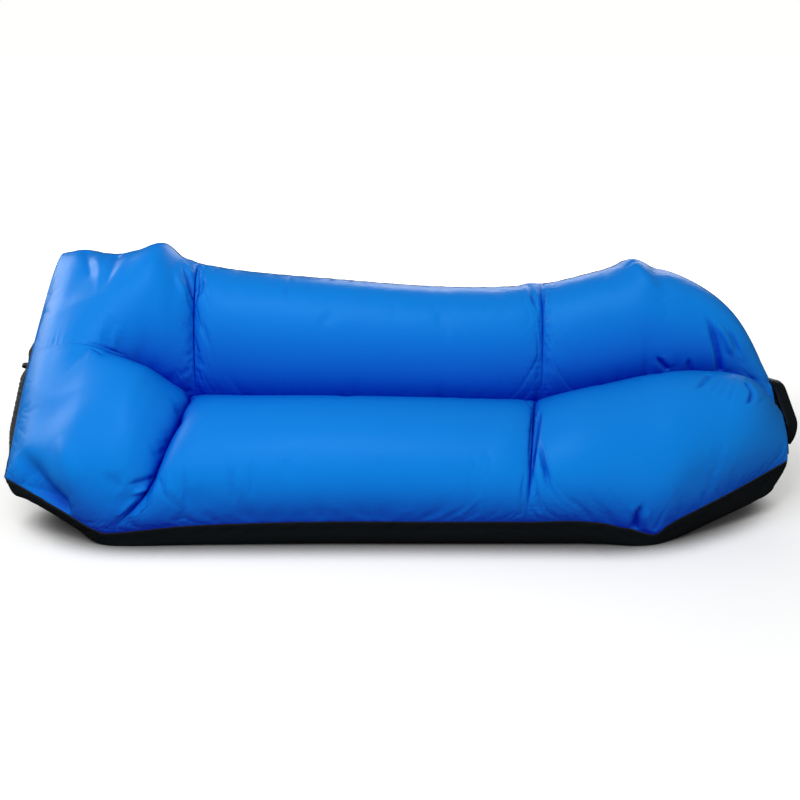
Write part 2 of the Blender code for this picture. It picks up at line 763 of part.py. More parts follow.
def core_seat(thickness):
    """How far inside the roll's middle line a strip lies that rests on the core's last layer."""
    _, high = spiral_radii(ROLL_TURNS - QUARTER_TURN)
    return high - ROLL_LAYER / 2 - SEAT_GAP - thickness / 2


def make_stiffeners(pivot):
    """A plastic strip in each mouth's hem, at the core of the roll."""
    height = -core_seat(STIFFENER)
    reach = roll_half() - STRAP_TUCK - 2 * WEBBING
    half = np.array([d for d in roll_distances() if 0 < d < reach])
    half = np.concatenate(((SLEEVE_PARTING,), half, (reach,)))
    width = np.linspace(-STIFFENER_WIDTH / 2, STIFFENER_WIDTH / 2, 3)
    section = np.stack((np.full(3, height), width), axis=1)
    for name, distances in (("front_mouth_stiffener", -half[::-1]), ("rear_mouth_stiffener", half)):
        grid_object(name, swept(distances, section), CLEAR_PLASTIC, STIFFENER, pivot, offset=0)


def buckle_drop():
    """How far behind the roll's middle line the buckle lies."""
    return ROLL_BEND + ROLL_TAIL + STRAP_LEAD + STRAP_BEND


def strap_line(bar_end):
    """The strap's middle line from its tuck in the roll to the buckle's bar, in the closure's x and y."""
    end_x = ROLL_STRAIGHT / 2 + ROLL_BEND - core_seat(WEBBING)
    end_y = -ROLL_BEND - ROLL_TAIL
    line = [(end_x, end_y + STRAP_TUCK), (end_x, end_y - STRAP_LEAD)]
    for k in range(1, 7):
        turn = math.pi / 2 * k / 6
        in_by, down_by = STRAP_BEND * (1 - math.cos(turn)), STRAP_BEND * math.sin(turn)
        line.append((end_x - in_by, end_y - STRAP_LEAD - down_by))
    line.append((bar_end, -buckle_drop()))
    return line


def offset_line(line, distance):
    """The line moved sideways by a distance, to its left."""
    moved = []
    for i, (x, y) in enumerate(line):
        before, after = line[max(i - 1, 0)], line[min(i + 1, len(line) - 1)]
        dx, dy = after[0] - before[0], after[1] - before[1]
        size = math.hypot(dx, dy)
        moved.append((x - dy / size * distance, y + dx / size * distance))
    return moved


def rounded_box(low, high, radius, steps=3):
    """A rounded rectangle's outline, anticlockwise from the middle of its right end's lower corner."""
    outline = []
    for x, y, start in (
        (high[0] - radius, low[1] + radius, -math.pi / 2),
        (high[0] - radius, high[1] - radius, 0),
        (low[0] + radius, high[1] - radius, math.pi / 2),
        (low[0] + radius, low[1] + radius, math.pi),
    ):
        for k in range(steps + 1):
            turn = start + math.pi / 2 * k / steps
            outline.append((x + radius * math.cos(turn), y + radius * math.sin(turn)))
    return outline


def make_strap(name, side, bar_low, bar_high, pivot):
    """Webbing from the roll's end, with an eye round the buckle's bar; side -1 mirrors it."""
    half = BAR_THICKNESS / 2 + CLEARANCE
    eye_low, eye_high = bar_low - CLEARANCE, bar_high + CLEARANCE
    middle = -buckle_drop()
    eye = rounded_box((eye_low, middle - half), (eye_high, middle + half), CLEARANCE)
    outer = rounded_box(
        (eye_low - WEBBING, middle - half - WEBBING),
        (eye_high + WEBBING, middle + half + WEBBING),
        WEBBING,
    )
    line = strap_line(eye_high + WEBBING)
    lower, upper = offset_line(line, WEBBING / 2), offset_line(line, -WEBBING / 2)
    corner = len(outer) // 4
    round_eye = outer[corner - 1 :: -1] + outer[: corner - 1 : -1]
    outline = lower + round_eye + upper[::-1]
    outlines = [[(side * x, y) for x, y in points] for points in (outline, eye)]
    strap = outline_object(name, outlines, WEBBING_WIDTH / 2, BLACK_WEBBING, pivot)
    strap.location.z = roll_middle()
    return strap


def web_recess(target, name, low_x, high_x):
    """The slot and the two shallow recesses that let webbing round the bar."""
    half = WEBBING_WIDTH / 2 + CHEEK_GAP
    bar_half = BAR_THICKNESS / 2
    for side, which in ((1, "upper"), (-1, "lower")):
        near, far = side * bar_half, side * (BUCKLE_THICKNESS / 2 + OVERRUN)
        low = (low_x, min(near, far), -half)
        high = (high_x, max(near, far), half)
        cut_block(target, f"{name}_{which}_recess", low, high)


def make_housing(pivot):
    """The buckle's female half: a flat sleeve with a window in each side and a bar for the webbing."""
    half_width, half_thick = BUCKLE_WIDTH / 2, BUCKLE_THICKNESS / 2
    tail = HOUSING_MOUTH - HOUSING_LENGTH
    housing = block_object(
        "buckle_housing",
        (tail, -half_thick, -half_width),
        (HOUSING_MOUTH, half_thick, half_width),
        BLACK_PLASTIC,
        pivot,
        BUCKLE_EDGE,
    )
    housing.location = (0, -buckle_drop(), roll_middle())
    inner_width, inner_thick = half_width - BUCKLE_WALL, half_thick - BUCKLE_WALL
    cut_block(
        housing,
        "housing_cavity",
        (HOUSING_MOUTH - CAVITY_DEPTH, -inner_thick, -inner_width),
        (HOUSING_MOUTH + OVERRUN, inner_thick, inner_width),
    )
    window = HOUSING_MOUTH - WINDOW_INSET
    cut_block(
        housing,
        "housing_windows",
        (window - WINDOW_LENGTH, -inner_thick, -half_width - OVERRUN),
        (window, inner_thick, half_width + OVERRUN),
    )
    slot_half = WEBBING_WIDTH / 2 + CHEEK_GAP
    cut_block(
        housing,
        "housing_web_slot",
        (tail + BAR, -half_thick - OVERRUN, -slot_half),
        (tail + BAR + WEB_SLOT, half_thick + OVERRUN, slot_half),
    )
    web_recess(housing, "housing_bar", tail - OVERRUN, tail + BAR + WEB_SLOT)
    return housing


def plug_face():
    """Where the plug's body meets the housing's mouth."""
    return HOUSING_MOUTH + CLEARANCE


def make_plug(pivot):
    """The buckle's male half: a body with the guide tongue that slides in the housing, and its web bar."""
    half_width, half_thick = BUCKLE_WIDTH / 2, BUCKLE_THICKNESS / 2
    face = plug_face()
    end = face + PLUG_BODY + WEB_SLOT + BAR
    plug = block_object(
        "buckle_plug",
        (face, -half_thick, -half_width),
        (end, half_thick, half_width),
        BLACK_PLASTIC,
        pivot,
        BUCKLE_EDGE,
    )
    plug.location = (0, -buckle_drop(), roll_middle())
    slot_half = WEBBING_WIDTH / 2 + CHEEK_GAP
    cut_block(
        plug,
        "plug_web_slot",
        (face + PLUG_BODY, -half_thick - OVERRUN, -slot_half),
        (face + PLUG_BODY + WEB_SLOT, half_thick + OVERRUN, slot_half),
    )
    web_recess(plug, "plug_bar", face + PLUG_BODY, end + OVERRUN)
    guide_half = GUIDE_WIDTH / 2
    tongue = block_mesh(
        "plug_guide",
        (face - GUIDE_LENGTH, -guide_half, -guide_half),
        (face + PLUG_BODY / 2, guide_half, guide_half),
    )
    CUTTERS.objects.link(tongue)
    tongue.parent = plug
    tongue.hide_render = True
    tongue.display_type = "WIRE"
    join = plug.modifiers.new("guide tongue", "BOOLEAN")
    join.operation = "UNION"
    join.object = tongue
    return plug


def make_prong(name, side, plug):
    """A sprung side arm of the plug, with the latch head that fills the housing's window.

    Its origin is where it bends, and its outline lies in the closure's x and z.
    """
    root = plug_face() - CLEARANCE
    bend = root - PRONG_PIVOT_INSET
    shoulder = HOUSING_MOUTH - WINDOW_INSET - CLEARANCE
    inner, outer = PRONG_OFFSET - PRONG_WIDTH / 2, PRONG_OFFSET + PRONG_WIDTH / 2
    latch = BUCKLE_WIDTH / 2 - PRONG_LATCH_INSET
    outline = [
        (root, inner),
        (root, outer),
        (shoulder, outer),
        (shoulder, latch),
        (shoulder - PRONG_HEAD + PRONG_TIP, latch),
        (shoulder - PRONG_HEAD, outer),
        (shoulder - PRONG_HEAD, inner),
    ]
    points = [(x - bend, side * (z - PRONG_OFFSET)) for x, z in outline]
    half = BUCKLE_THICKNESS / 2 - BUCKLE_WALL - CLEARANCE
    prong = outline_object(name, [points], half, BLACK_PLASTIC, plug)
    prong.location = (bend, 0, side * PRONG_OFFSET)
    prong.rotation_euler = (math.pi / 2, 0, 0)
    return prong


def make_closure():
    pivot = make_closure_pivot()
    make_roll(pivot)
    make_stiffeners(pivot)
    make_housing(pivot)
    plug = make_plug(pivot)
    make_prong("outer_prong", 1, plug)
    make_prong("inner_prong", -1, plug)
    bar_near = HOUSING_LENGTH - HOUSING_MOUTH - BAR
    make_strap("lower_strap", -1, bar_near, bar_near + BAR, pivot)
    bar_near = plug_face() + PLUG_BODY + WEB_SLOT
    make_strap("upper_strap", 1, bar_near, bar_near + BAR, pivot)


def teardrop(length, width, start, steps=20):
    """A closed teardrop outline from its point at start."""
    outline = []
    for k in range(steps):
        turn = 2 * math.pi * (k + 0.5) / steps
        x = start + length * (1 - math.cos(turn)) / 2
        outline.append((x, width / 2 * math.sin(turn) * math.sin(turn / 2)))
    return outline


def make_anchor_loop():
    """The loop of webbing for a ground peg, sewn in the middle of the head end seam."""
    low, high = seam("front", HEAD_END_SHARE)[0], seam("top", HEAD_END_SHARE)[0]
    middle = seam("groove", HEAD_END_SHARE)[0]
    along = (high - low) / np.linalg.norm(high - low)
    outward = np.array((-1, 0, 0)) + along[0] * along
    outward = outward / np.linalg.norm(outward)
    droop = 2 * math.pi * ANCHOR_DROOP_SHARE
    outward = math.cos(droop) * outward - math.sin(droop) * np.cross(along, outward)
    pivot = bpy.data.objects.new("anchor_pivot", None)
    PARTS.objects.link(pivot)
    frame = Matrix((outward, np.cross(along, outward), along)).transposed().to_4x4()
    pivot.matrix_world = Matrix.Translation(middle) @ frame
    start = BINDING_RADIUS + SEAT_GAP
    outer = teardrop(ANCHOR_LENGTH, ANCHOR_EYE + 2 * WEBBING, start)
    outer = [(x, math.copysign(max(abs(y), WEBBING), y)) for x, y in outer]
    eye = teardrop(ANCHOR_LENGTH - ANCHOR_ROOT - WEBBING, ANCHOR_EYE, start + ANCHOR_ROOT)
    outline_object("anchor_loop", [outer, eye], ANCHOR_WIDTH / 2, BLACK_WEBBING, pivot)


clear_scene()
PARTS = collection("inflatable_air_lounger")
CUTTERS = collection("cutters", hidden=True)
make_chamber_panels()
make_seams()
make_partition()
make_mouth_sleeves()
make_closure()
make_anchor_loop()
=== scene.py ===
"""The inflatable air lounger as it looks: sewn nylon panels with puckers, the rolled mouth and the buckle.

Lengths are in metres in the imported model's frame. The panels repeat the seam tables of the CAD source, drawn
finer, then creased and settled as cloth.
"""

import math

import bpy
import numpy as np
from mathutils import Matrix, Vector


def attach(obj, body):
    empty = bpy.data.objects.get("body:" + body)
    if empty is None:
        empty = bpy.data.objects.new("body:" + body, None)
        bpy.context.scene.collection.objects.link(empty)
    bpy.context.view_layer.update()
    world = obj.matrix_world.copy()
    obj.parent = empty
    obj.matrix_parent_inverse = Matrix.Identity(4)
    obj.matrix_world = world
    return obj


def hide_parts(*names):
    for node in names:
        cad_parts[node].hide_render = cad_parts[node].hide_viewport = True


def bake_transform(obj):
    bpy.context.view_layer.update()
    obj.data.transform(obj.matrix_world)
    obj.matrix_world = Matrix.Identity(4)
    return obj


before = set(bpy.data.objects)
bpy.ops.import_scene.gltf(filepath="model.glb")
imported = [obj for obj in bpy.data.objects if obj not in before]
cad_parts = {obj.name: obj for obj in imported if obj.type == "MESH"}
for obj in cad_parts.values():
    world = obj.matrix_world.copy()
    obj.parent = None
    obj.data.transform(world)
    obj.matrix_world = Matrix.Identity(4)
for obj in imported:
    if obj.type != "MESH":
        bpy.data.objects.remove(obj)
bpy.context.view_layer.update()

LENGTH, DEPTH, HEIGHT = 2.16, 0.80, 0.64
SCALE = np.array((LENGTH, DEPTH, HEIGHT))
HEAD_END_SHARE, HEAD_CREASE_SHARE, FOOT_CREASE_SHARE, MOUTH_SHARE = 0.0, 0.375, 0.75, 1.0
WEB_START_SHARE, WEB_END_SHARE = 0.04, 0.975

# Camera, as the photograph was taken
ELEVATION = math.radians(22)
DISTANCE = 3.1
LENS = 50.0
SENSOR = 36.0
TARGET = np.array((-0.0365, 0.0, 0.25))
IMAGE = 800

# Fabric and seams
FABRIC = 0.0006
BINDING_RADIUS = 0.0016
SEAM_CORD_RADIUS = 0.0011
CORD_HINT = (0.3, 1, 0.2)
PARTITION = 0.0012
PARTITION_SHORT = 0.003
TAPE_SHORT = 0.005

# Rolled mouth and its sleeves
SEAT_GAP = 0.0004
SLEEVE_INSIDE = 0.018
SLEEVE_OUTSIDE = 0.015
SLEEVE_STRAIGHT = 0.004
SLEEVE_WALL = 0.0009
SLEEVE_SIDE_MARGIN = 0.016
SLEEVE_END_HALF = 0.0030
SLEEVE_PARTING = 0.0015
SLEEVE_NECK_SHARE = 0.76
LENS_POINTED_SHARES = (2.0, 0.6)
ROLL_SHIFT = 0.042
ROLL_TILT_SHARE = 0.06
ROLL_WIDTH = 0.040
ROLL_THICKNESS = 0.0190
ROLL_STRAIGHT = 0.110
ROLL_BEND = 0.035
ROLL_TAIL = 0.016
ROLL_LAYER = 0.0013
ROLL_PITCH = 0.0024
ROLL_TURNS = 2.5
STRAP_TUCK = 0.012
STRAP_LEAD = 0.009
STRAP_BEND = 0.012
WEBBING = 0.0015
WEBBING_WIDTH = 0.020
CLEARANCE = 0.0005

# Buckle places that the webbing wraps
BAR = 0.0040
BAR_THICKNESS = 0.0044
LOWER_BAR = 0.030
UPPER_BAR = 0.024

# Anchor loop at the head end
ANCHOR_START = 0.0026
ANCHOR_LENGTH = 0.030
ANCHOR_WIDTH = 0.010
ANCHOR_EYE = 0.022
ANCHOR_ROOT = 0.008
ANCHOR_DROOP_SHARE = 0.15

# Seam lines, each row a station, then x, y and z as shares of LENGTH, DEPTH and HEIGHT. "base" is the seam
# between the chambers underneath.
SEAM_SHARES = {
    "front": (
        (0.0, -0.492, -0.345, 0.226), (0.0875, -0.458, -0.39, 0.19), (0.2, -0.413, -0.43, 0.118),
        (0.3, -0.375, -0.462, 0.062), (0.375, -0.349, -0.47, 0.056), (0.45, -0.273, -0.47, 0.086),
        (0.55, -0.118, -0.47, 0.106), (0.65, 0.027, -0.47, 0.106), (0.75, 0.129, -0.47, 0.106),
        (0.825, 0.222, -0.47, 0.1), (0.8625, 0.281, -0.464, 0.056), (0.8875, 0.315, -0.43, 0.094),
        (0.9375, 0.385, -0.33, 0.15), (1.0, 0.469, -0.18, 0.205),
    ),
    "groove": (
        (0.0, -0.485, -0.04, 0.58), (0.0875, -0.45, -0.07, 0.64), (0.2, -0.393, -0.06, 0.6),
        (0.3, -0.328, -0.02, 0.46), (0.375, -0.28, 0.0, 0.36), (0.45, -0.223, 0.005, 0.335),
        (0.55, -0.098, 0.005, 0.33), (0.65, 0.047, 0.005, 0.325), (0.75, 0.165, 0.005, 0.325),
        (0.825, 0.232, 0.005, 0.38), (0.875, 0.297, 0.0, 0.44), (0.9125, 0.347, -0.01, 0.455),
        (0.9625, 0.422, -0.01, 0.4), (1.0, 0.47, -0.006, 0.346),
    ),
    "top": (
        (0.0, -0.462, 0.275, 0.955), (0.06, -0.4335, 0.293, 0.966), (0.115, -0.41, 0.3, 0.95),
        (0.17, -0.386, 0.304, 0.944), (0.22, -0.359, 0.305, 0.962), (0.27, -0.33, 0.305, 0.993),
        (0.335, -0.3035, 0.305, 0.925), (0.375, -0.283, 0.305, 0.902), (0.45, -0.233, 0.305, 0.868),
        (0.55, -0.103, 0.305, 0.826), (0.65, 0.047, 0.305, 0.79), (0.75, 0.169, 0.305, 0.802),
        (0.825, 0.232, 0.305, 0.85), (0.855, 0.264, 0.305, 0.882), (0.875, 0.29, 0.305, 0.92),
        (0.895, 0.317, 0.3, 0.888), (0.9125, 0.342, 0.29, 0.862), (0.9625, 0.417, 0.21, 0.7),
        (1.0, 0.465, 0.11, 0.44),
    ),
    "base": (
        (0.0, -0.485, -0.04, 0.58), (0.0875, -0.45, -0.02, 0.4), (0.2, -0.383, 0.01, 0.17),
        (0.3, -0.323, 0.02, 0.07), (0.375, -0.28, 0.025, 0.055), (0.45, -0.223, 0.025, 0.055),
        (0.55, -0.098, 0.025, 0.055), (0.65, 0.047, 0.025, 0.055), (0.75, 0.165, 0.025, 0.055),
        (0.825, 0.232, 0.025, 0.06), (0.875, 0.297, 0.02, 0.09), (0.9125, 0.342, 0.01, 0.15),
        (0.9625, 0.419, -0.005, 0.26), (1.0, 0.47, -0.006, 0.346),
    ),
}
# How far each face swells at a station, as shares of its full swell: seat, back, rear, base.
SWELL_SHARES = (
    (0.0, 0.45, 0.6, 0.4, 0.9), (0.0875, 0.65, 0.8, 0.8, 0.78), (0.2, 1.0, 1.0, 1.0, 0.8),
    (0.3, 1.12, 1.0, 1.0, 1.0), (0.375, 1.06, 1.0, 1.0, 1.0), (0.55, 1.04, 1.0, 1.0, 1.0),
    (0.75, 1.0, 1.0, 1.0, 1.0), (0.825, 1.05, 1.02, 1.0, 1.0), (0.875, 1.08, 1.05, 1.0, 1.0),
    (0.9125, 1.04, 1.08, 1.0, 0.95), (0.9625, 1.06, 1.0, 0.85, 0.95), (1.0, 0.6, 0.6, 0.5, 0.9),
)
# Where a face is drawn in: station, side of it, how far it takes to swell again, share that stays.
END_SEAM_SHARES = ((HEAD_END_SHARE, 1, 0.2125, 0.04), (MOUTH_SHARE, -1, 0.07, 0.18))
BASE_END_SHARES = ((HEAD_END_SHARE, 1, 0.04, 0.04), (MOUTH_SHARE, -1, 0.025, 0.08))
SEAT_CREASE_SHARES = (
    (HEAD_CREASE_SHARE, -1, 0.045, 0.64), (HEAD_CREASE_SHARE, 1, 0.07, 0.64),
    (FOOT_CREASE_SHARE, -1, 0.04, 0.8), (FOOT_CREASE_SHARE, 1, 0.055, 0.8),
)
BACK_CREASE_SHARES = (
    (HEAD_CREASE_SHARE, -1, 0.075, 0.7), (HEAD_CREASE_SHARE, 1, 0.065, 0.75),
    (FOOT_CREASE_SHARE, -1, 0.04, 0.82), (FOOT_CREASE_SHARE, 1, 0.055, 0.82),
)
# How far along x each of a face's two curve handles leans to its other seam: station, then both.
EVEN_LEAN_SHARES = ((0.0, 0.33, 0.33), (1.0, 0.33, 0.33))
SEAT_LEAN_SHARES = (
    (0.0, 0.55, 0.15), (0.375, 0.55, 0.15), (0.45, 0.55, 0.15), (0.7, 0.15, 0.55), (0.75, 0.15, 0.55),
    (0.825, 0.15, 0.55), (1.0, 0.33, 0.33),
)
# Each face: its two seams, its column of SWELL_SHARES, its curve handles at the two seams (y and z as
# shares of DEPTH and HEIGHT), how they lean, and where the face is drawn in.
FACE_SHARES = {
    "seat": (
        "front", "groove", 0, ((-0.130, 0.330), (-0.120, 0.310)),
        SEAT_LEAN_SHARES, END_SEAM_SHARES + SEAT_CREASE_SHARES,
    ),
    "back": (
        "groove", "top", 1, ((-0.005, 0.200), (-0.235, 0.100)),
        EVEN_LEAN_SHARES, END_SEAM_SHARES + BACK_CREASE_SHARES,
    ),
    "rear": ("top", "base", 2, ((0.250, -0.130), (0.600, -0.310)), EVEN_LEAN_SHARES, END_SEAM_SHARES),
    "base": ("base", "front", 3, ((-0.250, -0.200), (-0.070, -0.200)), EVEN_LEAN_SHARES, BASE_END_SHARES),
}
# At the head end the two blue faces run into one another across the groove: where this starts to fade into
# a crease, where the crease is full, and how far their handles reach as shares of a face's width.
BLEND_SHARES = (0.10, 0.32)
BLEND_HANDLE_SHARE = 0.33
# The black underside bellies out past the head end seam: how far in x, y and z, how far along, and its
# outline across as the powers of the distances from the two seams.
BELLY_SHARES = (-0.016, 0.010, -0.010)
BELLY_POWER_SHARES = (1.5, 3.0)
BELLY_REACH_SHARE = 0.15

# Points across a face before it is spread evenly
FABRIC_COUNT = 401


def unit(vectors):
    return vectors / np.maximum(np.linalg.norm(vectors, axis=-1, keepdims=True), 1e-12)


def smoothstep(x):
    x = np.clip(x, 0, 1)
    return x * x * (3 - 2 * x)


def hermite(rows, stations):
    """Values between the rows of a table, on a smooth curve through them."""
    table = np.array(rows)
    at, values = table[:, 0], table[:, 1:]
    slopes = np.gradient(values, at, axis=0)
    i = np.clip(np.searchsorted(at, stations, side="right") - 1, 0, len(at) - 2)
    span = (at[i + 1] - at[i])[:, None]
    t = (stations - at[i])[:, None] / span
    return (
        (2 * t**3 - 3 * t**2 + 1) * values[i]
        + (t**3 - 2 * t**2 + t) * span * slopes[i]
        + (3 * t**2 - 2 * t**3) * values[i + 1]
        + (t**3 - t**2) * span * slopes[i + 1]
    )


def seam(name, stations):
    return hermite(SEAM_SHARES[name], np.atleast_1d(stations)) * SCALE


def swell(name, stations):
    """How much of its full swell a face has at each station, drawn in at its end seams and creases."""
    _, _, column, _, _, drawn_in = FACE_SHARES[name]
    least = np.ones_like(stations)
    for at, side, reach, stays in drawn_in:
        away = (stations - at) * side
        rise = np.sqrt(1 - (1 - np.clip(away / reach, 0, 1)) ** 2)
        least = np.minimum(least, np.where(away >= 0, stays + (1 - stays) * rise, 1))
    return hermite(SWELL_SHARES, stations)[:, column] * least


def head_blend(stations, chords):
    """How much of the groove is smoothed away at each station, and the handles that then lie along it."""
    fade, full = BLEND_SHARES
    across = unit(seam("top", stations) - seam("front", stations))
    reach = BLEND_HANDLE_SHARE * np.linalg.norm(chords, axis=1, keepdims=True) * across
    return (1 - smoothstep((stations - fade) / (full - fade)))[:, None], reach


def face_points(name, stations, shares):
    """Points of a chamber face, an array of stations by shares across it."""
    start, end, _, handles, leans, _ = FACE_SHARES[name]
    first, last = seam(start, stations), seam(end, stations)
    full = swell(name, stations)[:, None]
    along = (last - first) * np.array((1, 0, 0))
    outward = [np.array((0, y * DEPTH, z * HEIGHT)) for y, z in handles]
    lean = hermite(leans, stations)
    second = first + lean[:, :1] * along + full * outward[0]
    third = last - lean[:, 1:] * along + full * outward[1]
    if name in ("seat", "back"):
        blend, reach = head_blend(stations, last - first)
        if name == "seat":
            third = third + blend * (last - reach - third)
        else:
            second = second + blend * (first + reach - second)
    t = shares[None, :, None]
    corners = [p[:, None, :] for p in (first, second, third, last)]
    points = (
        (1 - t) ** 3 * corners[0]
        + 3 * (1 - t) ** 2 * t * corners[1]
        + 3 * (1 - t) * t**2 * corners[2]
        + t**3 * corners[3]
    )
    if name == "base":
        belly = np.sin(math.pi * np.sqrt(np.clip(stations / BELLY_REACH_SHARE, 0, 1)))
        first_power, last_power = BELLY_POWER_SHARES
        peak = first_power / (first_power + last_power)
        across = (shares / peak) ** first_power * ((1 - shares) / (1 - peak)) ** last_power
        weight = belly[:, None] * across
        points += weight[:, :, None] * np.array(BELLY_SHARES) * SCALE
    return points


def run_along(line):
    """How far along a line each of its points lies."""
    return np.concatenate(((0,), np.cumsum(np.linalg.norm(np.diff(line, axis=0), axis=1))))


def on_line(line, places):
    """Points of a line at given distances along it."""
    run = run_along(line)
    return np.stack([np.interp(places, run, column) for column in line.T], axis=-1)


def resampled(line, count, cluster=0.0):
    """A line's points spread anew along it, closer together near its ends by a share."""
    even = np.linspace(0, 1, count)
    return on_line(line, (even + cluster * ((1 - np.cos(math.pi * even)) / 2 - even)) * run_along(line)[-1])


def panel_stations(low, high, columns):
    """A panel's stations, closer together near its two ends."""
    even = np.linspace(0, 1, columns)
    return low + (high - low) * (0.4 * even + 0.6 * (1 - np.cos(math.pi * even)) / 2)


def panel_grid(face, low, high, columns, rows):
    """A panel's smooth surface between two stations, its edges exactly on its seams."""
    surface = face_points(face, panel_stations(low, high, columns), np.linspace(0, 1, FABRIC_COUNT))
    return np.array([resampled(line, rows, 0.45) for line in surface])


def grid_normals(points):
    return unit(np.cross(np.gradient(points, axis=0), np.gradient(points, axis=1)))


def arc_from_edges(points):
    """Distances along the grid lines from each of the four edges: start, end, first row, last row."""
    down = np.linalg.norm(np.diff(points, axis=0), axis=2)
    down = np.concatenate((np.zeros((1, points.shape[1])), np.cumsum(down, axis=0)))
    side = np.linalg.norm(np.diff(points, axis=1), axis=2)
    side = np.concatenate((np.zeros((points.shape[0], 1)), np.cumsum(side, axis=1)), axis=1)
    return down, down[-1:] - down, side, side[:, -1:] - side


def camera_place():
    return TARGET + DISTANCE * np.array((0, -math.cos(ELEVATION), math.sin(ELEVATION)))


def projected(points):
    """Where points fall in the photograph's frame, in pixels."""
    ahead = np.array((0, math.cos(ELEVATION), -math.sin(ELEVATION)))
    up = np.array((0, math.sin(ELEVATION), math.cos(ELEVATION)))
    relative = points - TARGET
    scale = LENS / SENSOR * IMAGE / (DISTANCE + relative @ ahead)
    return np.stack((IMAGE / 2 + scale * relative[..., 0], IMAGE / 2 - scale * (relative @ up)), axis=-1)


def noise_line(places, wavelength, seed, octaves=3):
    """Smooth random waves along a line, from about -1 to 1."""
    rng = np.random.default_rng(seed)
    total = np.zeros_like(places)
    weight = 0
    for k in range(octaves):
        scale = wavelength / 1.9**k
        share = 0.6**k
        for _ in range(3):
            pitch = scale * rng.uniform(0.75, 1.35)
            total += share * np.sin(2 * math.pi * places / pitch + rng.uniform(0, 2 * math.pi))
        weight += share * 1.7
    return total / weight


def catmull(points, count):
    """A smooth line through a few points."""
    p = np.vstack((2 * points[0] - points[1], points, 2 * points[-1] - points[-2]))
    line = []
    for i in range(1, len(p) - 2):
        t = np.linspace(0, 1, count, endpoint=False)[:, None]
        a, b, c, d = p[i - 1], p[i], p[i + 1], p[i + 2]
        cubic = (3 * b - a - 3 * c + d) * t**3
        line.append(0.5 * (2 * b + (c - a) * t + (2 * a - 5 * b + 4 * c - d) * t**2 + cubic))
    return np.vstack((*line, p[-2:-1]))


def line_distance(points, line):
    """Distance of each point from a polyline and the share of the line where it is nearest."""
    best = np.full(len(points), np.inf)
    where = np.zeros(len(points))
    run = run_along(line)
    for i, (a, step) in enumerate(zip(line, np.diff(line, axis=0))):
        t = np.clip(((points - a) @ step) / (step @ step), 0, 1)
        distance = np.linalg.norm(points - a - t[:, None] * step, axis=1)
        nearer = distance < best
        best[nearer] = distance[nearer]
        where[nearer] = (run[i] + t[nearer] * (run[i + 1] - run[i])) / run[-1]
    return best, where


